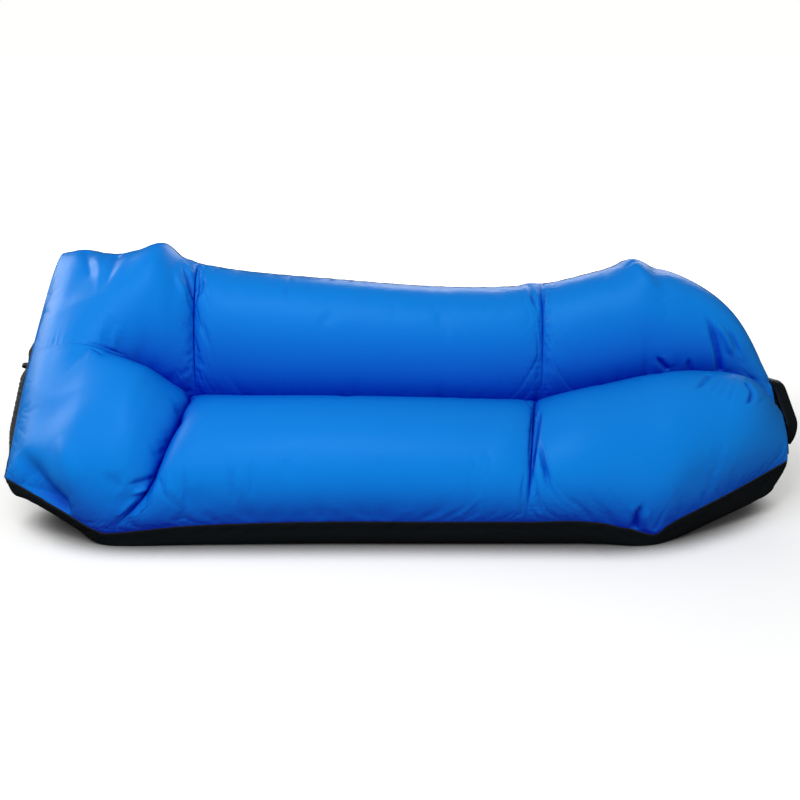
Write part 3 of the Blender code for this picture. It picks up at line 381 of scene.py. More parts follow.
# Folds seen in the photograph, panel by panel: points in its pixels, depth and half width in millimetres (a
# negative depth is a ridge), and how much of each end fades out.
FOLDS = {
    "front_head_panel": (
        (((104, 354), (94, 349), (84, 348)), 7, 7, 0.1, 0.8),
        (((128, 485), (140, 482), (155, 478)), 12, 9, 0.4, 0.1),
        (((131, 494), (142, 490), (150, 486)), -8, 7, 0.4, 0.3),
        (((124, 488), (112, 482), (100, 470)), 6, 20, 0.3, 0.6),
        (((145, 500), (133, 511), (117, 528)), 8, 8, 0.3, 0.1),
        (((137, 497), (127, 506), (118, 516)), -5, 8, 0.4, 0.4),
        (((20, 452), (32, 476), (50, 498), (72, 517)), 30, 40, 0.4, 0.2),
        (((60, 436), (68, 464), (80, 502)), -8, 30, 0.5, 0.5),
    ),
    "back_head_panel": (
        (((82, 348), (94, 347), (110, 350), (128, 356)), 8, 6, 0.25, 0.5),
        (((196, 302), (190, 284), (180, 264)), 16, 9, 0.1, 0.4),
        (((186, 300), (180, 284), (172, 268)), -6, 10, 0.3, 0.5),
        (((86, 251), (88, 264), (90, 280)), 6, 13, 0.1, 0.6),
        (((118, 255), (112, 268), (104, 289)), 8, 15, 0.1, 0.7),
        (((101, 252), (99, 270), (97, 296)), -5, 15, 0.2, 0.6),
    ),
    "back_middle_panel": (
        (((196, 303), (199, 286), (199, 268)), 11, 6, 0.2, 0.1),
        (((200, 296), (204, 282), (205, 265)), 10, 6, 0.2, 0.1),
        (((202, 318), (207, 335), (212, 352)), 4, 7, 0.4, 0.5),
        (((290, 276), (286, 290), (281, 305)), 6, 6, 0.3, 0.6),
        (((455, 287), (457, 296), (459, 305)), 3.5, 5, 0.1, 0.7),
        (((526, 282), (532, 298), (538, 313)), 11, 6, 0.1, 0.3),
        (((520, 285), (523, 298), (527, 310)), 4, 5, 0.1, 0.6),
        (((536, 330), (537, 345), (538, 362)), 4, 5, 0.4, 0.4),
    ),
    "back_foot_panel": (
        (((544, 284), (542, 298), (540, 312)), 11, 6, 0.1, 0.3),
        (((549, 290), (547, 304), (544, 318)), -4, 6, 0.3, 0.4),
        (((704, 314), (713, 333), (717, 352), (719, 372)), 19, 9, 0.5, 0.05),
        (((716, 322), (726, 338), (733, 357)), -10, 10, 0.4, 0.3),
        (((728, 330), (735, 342), (742, 358)), 7, 6, 0.3, 0.4),
        (((656, 356), (661, 363), (667, 370)), 15, 7, 0.5, 0.05),
        (((688, 358), (689, 365), (690, 371)), 9, 6, 0.6, 0.05),
        (((631, 263), (652, 284), (676, 306)), -6, 18, 0.1, 0.7),
        (((770, 383), (752, 378), (738, 366)), 8, 8, 0.1, 0.6),
    ),
    "front_foot_panel": (
        (((745, 383), (752, 392), (750, 400), (744, 405)), 15, 7, 0.1, 0.4),
        (((709, 375), (701, 385), (693, 392)), 10, 7, 0.1, 0.5),
        (((719, 378), (713, 389), (704, 400)), 3.5, 5, 0.1, 0.6),
        (((727, 381), (722, 392), (714, 404)), 3.5, 5, 0.1, 0.6),
        (((735, 384), (731, 396), (725, 408)), 3.5, 5, 0.1, 0.6),
        (((768, 392), (760, 402), (750, 410)), 7, 8, 0.1, 0.6),
        (((541, 411), (538, 433), (534, 456), (530, 486)), 15, 7, 0.2, 0.3),
        (((540, 441), (546, 469), (554, 502)), 14, 8, 0.3, 0.4),
        (((534, 468), (538, 496), (543, 518)), 5, 6, 0.4, 0.4),
        (((533, 432), (531, 450), (528, 474)), -5, 5, 0.3, 0.3),
        (((642, 503), (637, 516), (634, 531)), 20, 8, 0.4, 0.02),
        (((648, 508), (647, 520), (649, 532)), -6, 7, 0.4, 0.1),
        (((655, 531), (662, 515), (672, 500)), 6, 6, 0.1, 0.8),
    ),
    "front_seat_panel": (
        (((532, 412), (530, 436), (527, 462)), 8, 6, 0.2, 0.3),
        (((524, 470), (521, 492), (521, 518)), 5, 5, 0.4, 0.3),
        (((182, 460), (185, 490), (188, 522)), 5, 8, 0.4, 0.3),
        (((229, 458), (232, 486), (231, 514)), 5, 7, 0.4, 0.4),
        (((253, 456), (251, 484), (250, 512)), 5, 7, 0.4, 0.4),
        (((240, 466), (240, 486), (240, 508)), -3, 6, 0.4, 0.4),
        (((160, 478), (164, 494), (174, 508)), 6, 8, 0.1, 0.6),
    ),
}

# Folds under this half width have a sharp bottom and raised sides.
NARROW_FOLD = 0.012

# Broad hollows of the fabric there: the panel, place in pixels, and depth and reach in millimetres.
HOLLOWS = (
    ("front_head_panel", (95, 425), 6, 60),
    ("front_head_panel", (118, 498), 5, 30),
    ("back_head_panel", (90, 272), 5, 26),
    ("front_seat_panel", (196, 500), 6, 40),
    ("front_foot_panel", (700, 480), 8, 60),
)

# Panels: name, face, first and last station, grid columns and rows, and material.
PANELS = (
    ("front_head_panel", "seat", 0.0, 0.375, 190, 190, "blue"),
    ("front_seat_panel", "seat", 0.375, 0.75, 260, 160, "blue"),
    ("front_foot_panel", "seat", 0.75, 1.0, 220, 170, "blue"),
    ("back_head_panel", "back", 0.0, 0.375, 180, 170, "blue"),
    ("back_middle_panel", "back", 0.375, 0.75, 260, 150, "blue"),
    ("back_foot_panel", "back", 0.75, 1.0, 210, 160, "blue"),
    ("rear_panel", "rear", 0.0, 1.0, 360, 150, "black"),
    ("front_base_panel", "base", 0.0, 1.0, 440, 100, "black"),
)

# Gathers at the edges of each panel, in millimetres as height, wavelength and reach: at its start, its end,
# its first row and its last row.
GATHERS = {
    "front_head_panel": ((2.0, 20, 22), (1.4, 40, 22), (1.4, 30, 18), (0.2, 45, 10)),
    "front_seat_panel": ((1.2, 44, 24), (1.4, 36, 22), (0.9, 46, 16), (0.5, 60, 14)),
    "front_foot_panel": ((1.6, 36, 26), (2.2, 24, 40), (1.4, 26, 20), (1.4, 30, 22)),
    "back_head_panel": ((1.9, 22, 22), (1.4, 38, 22), (1.0, 44, 22), (0.8, 40, 18)),
    "back_middle_panel": ((1.4, 42, 24), (1.4, 36, 24), (0.5, 60, 14), (0.8, 44, 16)),
    "back_foot_panel": ((1.6, 36, 24), (2.2, 24, 40), (1.4, 34, 22), (0.9, 40, 20)),
    "rear_panel": ((2.4, 36, 46), (3.8, 44, 100), (2.0, 52, 40), (1.6, 60, 46)),
    "front_base_panel": ((2.0, 30, 30), (2.4, 26, 40), (1.2, 50, 20), (3.0, 16, 36)),
}

# The groove between seat and back is drawn smooth at the head end: stations where that starts, where it is
# full, and where it fades out, and how far the fabric bulges there in metres.
SMOOTH_STATIONS = (0.0, 0.025, 0.105, 0.29)
SMOOTH_BULGE = 0.006

# Places where the sewn shape is pulled about a little, in metres: place, pull and reach.
PULLS = (
    ((-0.63, -0.12, 0.275), (0.022, 0, 0), 0.055),
    ((-0.65, -0.21, 0.25), (0.034, 0, 0), 0.08),
    ((-0.675, -0.3, 0.2), (0.024, 0, 0), 0.08),
    ((-0.7, -0.356, 0.146), (0.019, 0, 0), 0.08),
    ((-0.742, -0.383, 0.058), (-0.02, 0, 0), 0.05),
    ((-0.79, -0.08, 0.39), (0, 0, 0.024), 0.12),
    ((0.339, 0.231, 0.517), (0, -0.002, 0.008), 0.026),
    ((-0.612, 0.236, 0.556), (0, -0.002, -0.006), 0.022),
    ((0.61, 0.178, 0.596), (0.002, -0.002, 0.008), 0.022),
    ((0.695, 0.18, 0.585), (0, 0, -0.009), 0.04),
    ((0.618, -0.378, 0.046), (0, -0.003, -0.01), 0.024),
    ((0.56, -0.38, 0.06), (0, 0, 0.007), 0.024),
)

# Cloth: how many grid points one step of it spans, frames, how much larger it is cut than its seams, the
# furthest that a point may move, and the simulation's own settings.
CLOTH_STEP = 3
CLOTH_FRAMES = 22
CLOTH_SPARE = 0.022
CLOTH_MOST = 0.008
CLOTH_SETTINGS = {
    "quality": 5, "mass": 0.15, "tension_stiffness": 25, "compression_stiffness": 12, "shear_stiffness": 8,
    "bending_stiffness": 0.08, "tension_damping": 8, "compression_damping": 8, "shear_damping": 8,
    "air_damping": 3, "vertex_group_mass": "seams", "pin_stiffness": 1, "shrink_min": -CLOTH_SPARE,
    "use_pressure": True, "uniform_pressure_force": 3.0,
}

# The share of its moves that the middle of a panel keeps, how far in from a seam they ease down to that, and
# how far in from a seam they set in. Folds and gathers set in within PINNED_REACH of a seam.
CLOTH_MIDDLE = 0.30
CLOTH_REACH = 0.045
CLOTH_EDGE = 0.016
PINNED_REACH = 0.012


def pulled(points):
    """Fabric with the small pulls of its sewn shape."""
    moved = points.copy()
    for place, pull, reach in PULLS:
        near = np.exp(-((points - place) ** 2).sum(axis=-1) / reach**2)
        moved += near[..., None] * np.array(pull)
    return moved


def upper_hull(across, height):
    """The highest taut line over a row of points, at each of them."""
    order = np.argsort(across)
    hull = []
    for point in zip(across[order], height[order]):
        while len(hull) > 1:
            (a, b), (c, d) = hull[-2:]
            if (c - a) * (point[1] - b) < (d - b) * (point[0] - a):
                break
            hull.pop()
        hull.append(point)
    hull = np.array(hull)
    return np.interp(across, hull[:, 0], hull[:, 1])


def smooth_weights(stations):
    first, full, last, end = SMOOTH_STATIONS
    return smoothstep((stations - first) / (full - first)) * smoothstep((end - stations) / (end - last))


def smooth_groove(face, stations, points):
    """The groove drawn out to a smooth bulge at the head end, where seat and back are one cushion."""
    if face not in ("seat", "back"):
        return points
    fine = np.linspace(0, 1, 161)
    for k, (station, weight) in enumerate(zip(stations, smooth_weights(stations))):
        if weight <= 0:
            continue
        at = np.array((station, station + 0.0001))
        outline = np.vstack((face_points("seat", at, fine)[0], face_points("back", at, fine)[0]))
        root = outline[0]
        chord = unit(outline[-1] - root)
        outward = unit(np.array((0, -chord[2], chord[1])))
        across, height = (outline - root) @ chord, (outline - root) @ outward
        here, now = (points[k] - root) @ chord, (points[k] - root) @ outward
        taut = upper_hull(np.concatenate((across, here)), np.concatenate((height, now)))[len(across):]
        rise = np.maximum(taut - now, 0)
        rise += SMOOTH_BULGE * smoothstep(rise / 0.012)
        points[k] += weight * rise[:, None] * outward
    return points


def puckers(points, edges, seed):
    """Small gathers square to the four seams of a panel, that fade into it."""
    from_edges = arc_from_edges(points)
    start, end, first, last = from_edges
    along = (first, first, start, start)
    depth = np.zeros(points.shape[:2])
    for k, (height, wavelength, reach) in enumerate(edges):
        places = along[k]
        waves = noise_line(places.ravel(), wavelength / 1000, seed + k).reshape(places.shape)
        folds = 1 - 2.2 * np.abs(waves)
        strength = 0.55 + 0.45 * noise_line(places.ravel(), 0.35, seed + 40 + k, 1).reshape(places.shape)
        fade = np.exp(-from_edges[k] / (reach / 1000))
        depth += height / 1000 * folds * strength * fade
    return depth


def fold_depth(name, points, normals):
    """The listed folds of a panel, as heights off its smooth surface."""
    flat = points.reshape(-1, 3)
    sight = unit(flat - camera_place())
    facing = (normals.reshape(-1, 3) * sight).sum(axis=1) < 0.05
    seen = projected(flat)
    depth = np.zeros(len(flat))

    def at_pixel(pixel):
        apart = ((seen - np.array(pixel)) ** 2).sum(axis=1) + np.where(facing, 0, 1e6)
        return flat[np.argmin(apart)]

    for pixels, millimetres, width, fade_in, fade_out in FOLDS.get(name, ()):
        line = catmull(np.array([at_pixel(pixel) for pixel in pixels]), 6)
        width = width / 1000
        reach = np.linalg.norm(line[-1] - line[0]) + 6 * width
        near = np.linalg.norm(flat - line.mean(axis=0), axis=1) < reach
        distance, where = line_distance(flat[near], line)
        strength = smoothstep(where / fade_in + 0.15) * smoothstep((1 - where) / fade_out + 0.02)
        share = distance / (width * (0.45 + 0.55 * strength))
        narrow = width < NARROW_FOLD
        shape = -np.exp(-(share ** (1.25 if narrow and millimetres > 0 else 2)))
        if narrow:
            shape += 0.30 * np.exp(-((share / 2.6) ** 2))
        depth[near] += millimetres / 1000 * strength * shape
    for panel, pixel, millimetres, reach in HOLLOWS:
        if panel == name:
            distance = np.linalg.norm(flat - at_pixel(pixel), axis=1)
            depth -= millimetres / 1000 * np.exp(-((distance / (reach / 1000)) ** 2))
    return depth.reshape(points.shape[:2])


def grid_faces(columns, rows, closed=False):
    i = np.arange(columns - 1)[:, None]
    j = np.arange(rows if closed else rows - 1)[None, :]
    a = i * rows + j
    b = (i + 1) * rows + j
    c = (i + 1) * rows + (j + 1) % rows
    d = i * rows + (j + 1) % rows
    return np.stack((a, b, c, d), axis=-1).reshape(-1, 4)


def spread(values, before, after):
    """Values on one row of places carried smoothly over to another, along the first axis."""
    flat = values.reshape(len(before), -1)
    rows = np.concatenate((before[:, None], flat), axis=1)
    return hermite(rows, after).reshape(len(after), *values.shape[1:])


def settled(points):
    """How far a panel's cloth moves when it is cut a little larger than its seams and filled with air."""
    columns, rows = points.shape[:2]
    across = np.unique(np.append(np.arange(0, columns, CLOTH_STEP), columns - 1))
    down = np.unique(np.append(np.arange(0, rows, CLOTH_STEP), rows - 1))
    coarse = points[np.ix_(across, down)]
    obj = add_mesh("settling", coarse.reshape(-1, 3), grid_faces(len(across), len(down)))
    edge = np.zeros((len(across), len(down)), bool)
    edge[[0, -1]] = True
    edge[:, [0, -1]] = True
    held = obj.vertex_groups.new(name="seams")
    held.add(np.flatnonzero(edge).tolist(), 1, "REPLACE")
    cloth = obj.modifiers.new("cloth", "CLOTH")
    for key, value in CLOTH_SETTINGS.items():
        setattr(cloth.settings, key, value)
    cloth.settings.effector_weights.gravity = 0
    cloth.collision_settings.use_collision = False
    cloth.point_cache.frame_start = 1
    cloth.point_cache.frame_end = CLOTH_FRAMES
    scene = bpy.context.scene
    for step in range(1, CLOTH_FRAMES + 1):
        scene.frame_set(step)
    seen = obj.evaluated_get(bpy.context.evaluated_depsgraph_get()).data
    after = np.empty(len(seen.vertices) * 3)
    seen.vertices.foreach_get("co", after)
    moved = after.reshape(coarse.shape) - coarse
    scene.frame_set(1)
    bpy.data.objects.remove(obj, do_unlink=True)
    far = np.linalg.norm(moved, axis=2, keepdims=True)
    moved *= CLOTH_MOST * np.tanh(far / CLOTH_MOST) / np.maximum(far, 1e-9)
    moved = spread(moved, across.astype(float), np.arange(columns, dtype=float))
    moved = spread(moved.swapaxes(0, 1), down.astype(float), np.arange(rows, dtype=float))
    return moved.swapaxes(0, 1)


def floor_flattened(points):
    """Fabric pressed flat where it would go below the floor, easing into the flat."""
    ease = 0.012
    z = points[..., 2]
    points[..., 2] = np.where(z < ease, np.where(z < -ease, 0, (z + ease) ** 2 / (4 * ease)), z)
    return points


def dressed_panel(name, face, low, high, columns, rows, seed):
    points = panel_grid(face, low, high, columns, rows)
    stations = panel_stations(low, high, columns)
    points = pulled(smooth_groove(face, stations, points))
    normals = grid_normals(points)
    start, end, first, last = arc_from_edges(points)
    nearest = np.minimum(np.minimum(start, end), np.minimum(first, last))
    pinned = smoothstep(nearest / PINNED_REACH)
    depth = fold_depth(name, points, normals) + puckers(points, GATHERS[name], seed)
    kept = CLOTH_MIDDLE + (1 - CLOTH_MIDDLE) * np.exp(-nearest / CLOTH_REACH)
    kept = kept * (1 - np.exp(-((nearest / CLOTH_EDGE) ** 2)))
    if face in ("seat", "back"):
        groove = last if face == "seat" else first
        kept = kept * (1 - smooth_weights(stations)[:, None] * np.exp(-groove / 0.10))
    points = points + settled(points) * kept[..., None]
    points = points + normals * (depth * pinned)[..., None]
    return floor_flattened(points)


def add_mesh(name, points, faces, material=None, uvs=None):
    mesh = bpy.data.meshes.new(name)
    mesh.from_pydata(np.asarray(points).tolist(), [], faces if isinstance(faces, list) else faces.tolist())
    mesh.shade_smooth()
    if uvs is not None:
        layer = mesh.uv_layers.new(name="cloth")
        loops = np.empty(len(mesh.loops), np.int32)
        mesh.loops.foreach_get("vertex_index", loops)
        layer.data.foreach_set("uv", np.asarray(uvs)[loops].ravel())
    obj = bpy.data.objects.new(name, mesh)
    bpy.context.scene.collection.objects.link(obj)
    if material:
        mesh.materials.append(material)
    return obj


def cloth_places(points):
    """Each point's distances along its grid's lines, as cloth coordinates in metres."""
    start, _, first, _ = arc_from_edges(points)
    return np.stack((start, first), axis=-1).reshape(-1, 2)


def add_grid(name, points, material, thickness=0.0, closed=False, offset=-1):
    """A sheet through a grid of points."""
    faces = grid_faces(*points.shape[:2], closed)
    obj = add_mesh(name, points.reshape(-1, 3), faces, material, cloth_places(points))
    if thickness:
        shell = obj.modifiers.new("fabric", "SOLIDIFY")
        shell.thickness = thickness
        shell.offset = offset
    return obj


def frames_along(line, hint):
    """At each point of a line, the two directions square to it, the first as near as it can be to a hint."""
    tangents = unit(np.gradient(line, axis=0))
    first = unit(hint - tangents * (tangents * hint).sum(axis=1, keepdims=True))
    return first, np.cross(tangents, first)


def add_tube(name, points, material):
    """A closed tube through rings of points, capped at both ends."""
    count, around = points.shape[:2]
    faces = grid_faces(count, around, closed=True).tolist()
    faces.append(list(range(around)))
    faces.append(list(range((count - 1) * around, count * around))[::-1])
    return add_mesh(name, points.reshape(-1, 3), faces, material, cloth_places(points))


def swept(line, section, first, second):
    """Rings of a section swept along a line; first and second are its two directions at each point."""
    return line[:, None] + section[None, :, :1] * first[:, None] + section[None, :, 1:] * second[:, None]


def add_cord(name, line, radius, count, material):
    """A round cord along a line, its section turned to a fixed direction."""
    turn = 2 * math.pi * np.arange(count) / count
    section = radius * np.stack((np.cos(turn), np.sin(turn)), axis=1)
    return add_tube(name, swept(line, section, *frames_along(line, np.array(CORD_HINT))), material)


def add_webbing(name, line, across, width, ribs=9):
    """Webbing along a line, its width in one fixed direction."""
    square = np.cross(across, unit(np.gradient(line, axis=0)))
    section = ribbon_section(width, WEBBING, ribs)
    return add_tube(name, swept(line, section, square, np.broadcast_to(across, line.shape)), TAPE)


def ribbon_section(width, thickness, ribs):
    """The outline of a woven tape: flat, with a few shallow ribs along it and rounded selvedges."""
    half, thick = width / 2, thickness / 2
    across = np.linspace(-1, 1, 2 * ribs + 1)
    bumps = thick * (1 - 0.10 * (1 - np.cos(2 * math.pi * ribs / 2 * (across + 1))))
    rounding = np.sqrt(np.clip(1 - ((np.abs(across) - 0.94) / 0.06) ** 2, 0, 1))
    height = bumps * np.where(np.abs(across) > 0.94, rounding, 1)
    upper = np.stack((height, across * half), axis=1)
    lower = np.stack((-height, across * half), axis=1)[::-1]
    return np.concatenate((upper[1:-1], upper[-1:] * (0, 1), lower[1:-1], upper[:1] * (0, 1)))


# Materials

# How far round a place counts towards the painted shade in its folds, and the open shares at which that
# painted shade is deepest and gone; the gloss's colour; the spacing of the cloth's threads, and how strong its
# crinkles are.
FOLD_SHADE_REACH = 0.30
FOLD_SHADE_SHARES = (0.30, 1.0)
GLOSS_TINT = (0.45, 0.8, 1, 1)
WEAVE = 0.0009
CRINKLE = 0.22
# The threads of webbing: across the tape, and slanting
WEBBING_RIB, WEBBING_SLANT = 0.0014, 0.0022


def new_material(name):
    material = bpy.data.materials.new(name)
    material.use_nodes = True
    return material, material.node_tree


def set_inputs(tree, node, inputs):
    """Feed a node's inputs, by name or number, from sockets and plain values."""
    for key, value in inputs.items():
        if isinstance(value, bpy.types.NodeSocket):
            tree.links.new(value, node.inputs[key])
        else:
            node.inputs[key].default_value = value


def add_node(tree, kind, inputs, **settings):
    node = tree.nodes.new(f"ShaderNode{kind}")
    for key, value in settings.items():
        setattr(node, key, value)
    set_inputs(tree, node, inputs)
    return node


def maths(tree, operation, *values):
    """A Math node on sockets and plain numbers."""
    return add_node(tree, "Math", dict(enumerate(values)), operation=operation).outputs["Value"]


def ranged(tree, value, span, onto=(0, 1), kind="LINEAR"):
    """A value carried from one span onto another."""
    names = ("Value", "From Min", "From Max", "To Min", "To Max")
    inputs = dict(zip(names, (value, *span, *onto)))
    return add_node(tree, "MapRange", inputs, interpolation_type=kind).outputs["Result"]


def mixed(tree, factor, first, second):
    """One colour run into another."""
    inputs = {"Factor": factor, "A": first, "B": second}
    return add_node(tree, "Mix", inputs, data_type="RGBA").outputs["Result"]


def openness(tree, reach, samples):
    return add_node(tree, "AmbientOcclusion", {"Distance": reach}, samples=samples).outputs["AO"]


def noise(tree, scale, **more):
    """Noise in a piece's own coordinates."""
    place = add_node(tree, "TexCoord", {}).outputs["Object"]
    return add_node(tree, "TexNoise", {"Vector": place, "Scale": scale, **more}).outputs["Fac"]


def woven(tree, *threads):
    """Two runs of threads across each other on the cloth: the direction and spacing of each."""
    place = add_node(tree, "TexCoord", {}).outputs["UV"]
    waves = [
        add_node(tree, "TexWave", {"Vector": place, "Scale": math.pi / (10 * spacing)}, bands_direction=way)
        for way, spacing in threads
    ]
    return maths(tree, "MULTIPLY", *(wave.outputs["Fac"] for wave in waves))


def bumped(tree, height, strength, distance, **under):
    """The normal of a bumpy surface, on top of another one's."""
    inputs = {"Height": height, "Strength": strength, "Distance": distance, **under}
    return add_node(tree, "Bump", inputs).outputs["Normal"]


def cloth_material(name, colour, deep, fold_shade, roughness, gloss):
    """Coated nylon: a fine plain weave and faint crinkles; its colour varies at random, and painted shade
    deepens it in the folds.
    """
    material, tree = new_material(name)
    cloudy = mixed(tree, noise(tree, 5, Detail=4), (*deep, 1), (*colour, 1))
    # Painted shade: the colour darkens to the fold shade colour where nearby cloth closes a place in (ambient
    # occlusion).
    depth = ranged(tree, openness(tree, FOLD_SHADE_REACH, 6), FOLD_SHADE_SHARES)
    fine = bumped(tree, woven(tree, ("X", WEAVE), ("Y", WEAVE)), 0.12, 0.0002)
    set_inputs(tree, tree.nodes["Principled BSDF"], {
        "Roughness": roughness,
        "Specular IOR Level": gloss,
        "Specular Tint": GLOSS_TINT,
        "Base Color": mixed(tree, depth, (*fold_shade, 1), cloudy),
        "Normal": bumped(tree, noise(tree, 22, Detail=4, Roughness=0.5), CRINKLE, 0.003, Normal=fine),
    })
    return material


def webbing_material(name, colour, light):
    """Black webbing: ribs across the tape and a herringbone of lighter threads."""
    material, tree = new_material(name)
    threads = woven(tree, ("X", WEBBING_RIB), ("DIAGONAL", WEBBING_SLANT))
    set_inputs(tree, tree.nodes["Principled BSDF"], {
        "Roughness": 0.78,
        "Sheen Weight": 0.3,
        "Base Color": mixed(tree, threads, (*colour, 1), (*light, 1)),
        "Normal": bumped(tree, threads, 0.6, 0.0003),
    })
    return material


def plastic_material():
    """Moulded acetal: a fine spark-eroded grain and slightly uneven gloss."""
    material, tree = new_material("moulded_black")
    set_inputs(tree, tree.nodes["Principled BSDF"], {
        "Base Color": (0.014, 0.014, 0.015, 1),
        "Roughness": ranged(tree, noise(tree, 60), (0, 1), (0.30, 0.46)),
        "Normal": bumped(tree, noise(tree, 1400, Detail=2), 0.18, 0.0001),
    })
    return material


def strip_material():
    """Clear plastic strip, slightly milky, with a faint grain."""
    material, tree = new_material("clear_strip")
    set_inputs(tree, tree.nodes["Principled BSDF"], {
        "Base Color": (0.75, 0.77, 0.78, 1),
        "Transmission Weight": 0.55,
        "Roughness": 0.25,
        "Normal": bumped(tree, noise(tree, 300), 0.1, 0.0002),
    })
    return material


# Each cloth's colours: its own, a deeper random tone, and the painted shade of its folds, then roughness and
# gloss.
BLUE = cloth_material(
    "blue_nylon", (0.0004, 0.222, 0.77), (0.0003, 0.208, 0.74), (0.0001, 0.005, 0.50), 0.38, 0.28
)
BLACK = cloth_material(
    "black_nylon", (0.0095, 0.0102, 0.0115), (0.0072, 0.0078, 0.0090), (0.0050, 0.0054, 0.0060), 0.40, 0.55
)
TAPE = webbing_material("black_webbing", (0.005, 0.005, 0.006), (0.022, 0.022, 0.024))
PLASTIC = plastic_material()
STRIP = strip_material()
MATERIALS = {"blue": BLUE, "black": BLACK}


def make_panels():
    for k, (name, face, low, high, columns, rows, cloth) in enumerate(PANELS):
        points = dressed_panel(name, face, low, high, columns, rows, 100 + 7 * k)
        panel = add_grid(f"{name}_cloth", points, MATERIALS[cloth], FABRIC)
        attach(panel, "lounger")
        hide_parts(name)


# Seams


def seam_run(name, low=HEAD_END_SHARE, high=MOUTH_SHARE, spacing=0.006):
    """A seam line at even steps."""
    line = seam(name, np.linspace(low, high, 301))
    return resampled(line, int(run_along(line)[-1] / spacing))


def trimmed(line, start, end):
    return on_line(line, np.linspace(start, run_along(line)[-1] - end, len(line)))


def crease_line(face, station):
    """A cross crease's line on its face, sunk under the panels' edges that meet there."""
    near = face_points(face, np.array((station, station + 0.0001)), np.linspace(0, 1, FABRIC_COUNT))
    return resampled(trimmed(near[0], TAPE_SHORT, TAPE_SHORT), 120)


def make_seams():
    front, top = seam_run("front"), seam_run("top")
    binding = resampled(np.concatenate((front[::-1], seam("groove", HEAD_END_SHARE), top)), 1000)
    run = np.linspace(0, 1, len(binding)) * 5.4
    wander = np.stack([noise_line(run, 0.05, 300 + k, 2) for k in range(3)], axis=-1)
    piece = add_cord("seam_binding", pulled(binding + 0.0005 * wander), BINDING_RADIUS, 10, TAPE)
    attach(piece, "lounger")
    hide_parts("perimeter_binding")
    cords = (
        ("groove", trimmed(seam_run("groove"), TAPE_SHORT, 0), "blue"),
        ("base", seam_run("base", WEB_START_SHARE, WEB_END_SHARE), "black"),
        ("front_head", crease_line("seat", HEAD_CREASE_SHARE), "blue"),
        ("front_foot", crease_line("seat", FOOT_CREASE_SHARE), "blue"),
        ("back_head", crease_line("back", HEAD_CREASE_SHARE), "blue"),
        ("back_foot", crease_line("back", FOOT_CREASE_SHARE), "blue"),
    )
    for name, line, cloth in cords:
        cord = add_cord(f"{name}_cord", pulled(line), SEAM_CORD_RADIUS, 8, MATERIALS[cloth])
        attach(cord, "lounger")
        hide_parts(f"{name}_seam_tape")


# The flat hem that shows beyond the head end's seam: its span as shares of the seam from the floor up to the
# groove, its width and thickness, the room that it leaves on each side for the anchor loop, and the
# share of its width and the reach with which it narrows towards that gap, and the way it leans.
HEM_SPAN = (0.10, 1.28)
HEM_WIDTH = 0.017
HEM_THICKNESS = 0.0014
HEM_ROOM = 0.0058
HEM_NARROW = (0.30, 0.040)
HEM_LEAN = (-1.0, 0.10, -0.25)


def make_end_hem():
    """The doubled edge of the rear fabric at the head end, which stands out past the blue panels."""
    low, groove = seam("front", HEAD_END_SHARE)[0], seam("groove", HEAD_END_SHARE)[0]
    high = seam("top", HEAD_END_SHARE)[0]
    share = np.linspace(*HEM_SPAN, 400)[:, None]
    line = np.where(share < 1, low + (groove - low) * share, groove + (high - groove) * (share - 1))
    ends = smoothstep((share - HEM_SPAN[0]) / 0.35) * smoothstep((HEM_SPAN[1] - share) / 0.25)
    apart = np.linalg.norm(line - groove, axis=1, keepdims=True)
    least, narrow_reach = HEM_NARROW
    ends = ends * (least + (1 - least) * smoothstep((apart - HEM_ROOM) / narrow_reach))
    along = unit(high - low)
    outward = unit(np.array(HEM_LEAN) - along * (np.array(HEM_LEAN) @ along))
    square = np.cross(outward, along)
    turn = 2 * math.pi * np.arange(14) / 14
    gap = int(np.argmin(apart))
    for k, part in enumerate((slice(0, gap), slice(gap, None))):
        clear = apart[part, 0] > HEM_ROOM
        root, wide = line[part][clear], (HEM_WIDTH * ends)[part][clear]
        run = share[part, 0][clear] * 0.34
        ripple = 0.0007 * noise_line(run, 0.022, 640 + k, 2)
        rim = wide * (1 + 0.04 * noise_line(run, 0.017, 650 + k, 2)[:, None])
        across = (rim / 2) * (1 + np.cos(turn)) - 0.0015
        rise = HEM_THICKNESS / 2 * np.sin(turn) + ripple[:, None] * across / HEM_WIDTH
        points = root[:, None] + across[..., None] * outward + rise[..., None] * square
        hem = add_tube(f"end_hem_{'low' if k == 0 else 'high'}", points, TAPE)
        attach(hem, "lounger")


def make_partition():
    stations = np.linspace(WEB_START_SHARE, WEB_END_SHARE, 160)
    upper, lower = seam("groove", stations), seam("base", stations)
    down = unit(lower - upper)
    upper, lower = upper + PARTITION_SHORT * down, lower - PARTITION_SHORT * down
    share = np.linspace(0, 1, 24)[None, :, None]
    points = upper[:, None] * (1 - share) + lower[:, None] * share
    height = np.linalg.norm(lower - upper, axis=1)
    ripple = noise_line(np.arange(len(stations)) * 0.013, 0.16, 500, 2)[:, None]
    points[..., 1] += 0.003 * ripple * np.sin(math.pi * share[..., 0]) * np.minimum(height[:, None] / 0.1, 1)
    piece = add_grid("partition_web", points, BLACK, PARTITION, offset=0)
    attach(piece, "lounger")
    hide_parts("centre_partition")


# Rolled mouth


def mouth_frame():
    """The mouth's middle and its three directions: along the mouth, square to its fabric, outward."""
    low, high = seam("front", MOUTH_SHARE)[0], seam("top", MOUTH_SHARE)[0]
    along = unit(high - low)
    outward = unit(np.array((1, 0, 0)) - along[0] * along)
    return (low + high) / 2, along, np.cross(outward, along), outward


def roll_frame():
    """The roll's hinge and its three directions: the roll lies tilted to the mouth, its upper end closer."""
    mouth, along, normal, outward = mouth_frame()
    place = mouth + ROLL_SHIFT * along + SLEEVE_OUTSIDE * outward
    tilted = unit(along - ROLL_TILT_SHARE * outward)
    return place, tilted, normal, np.cross(tilted, normal)


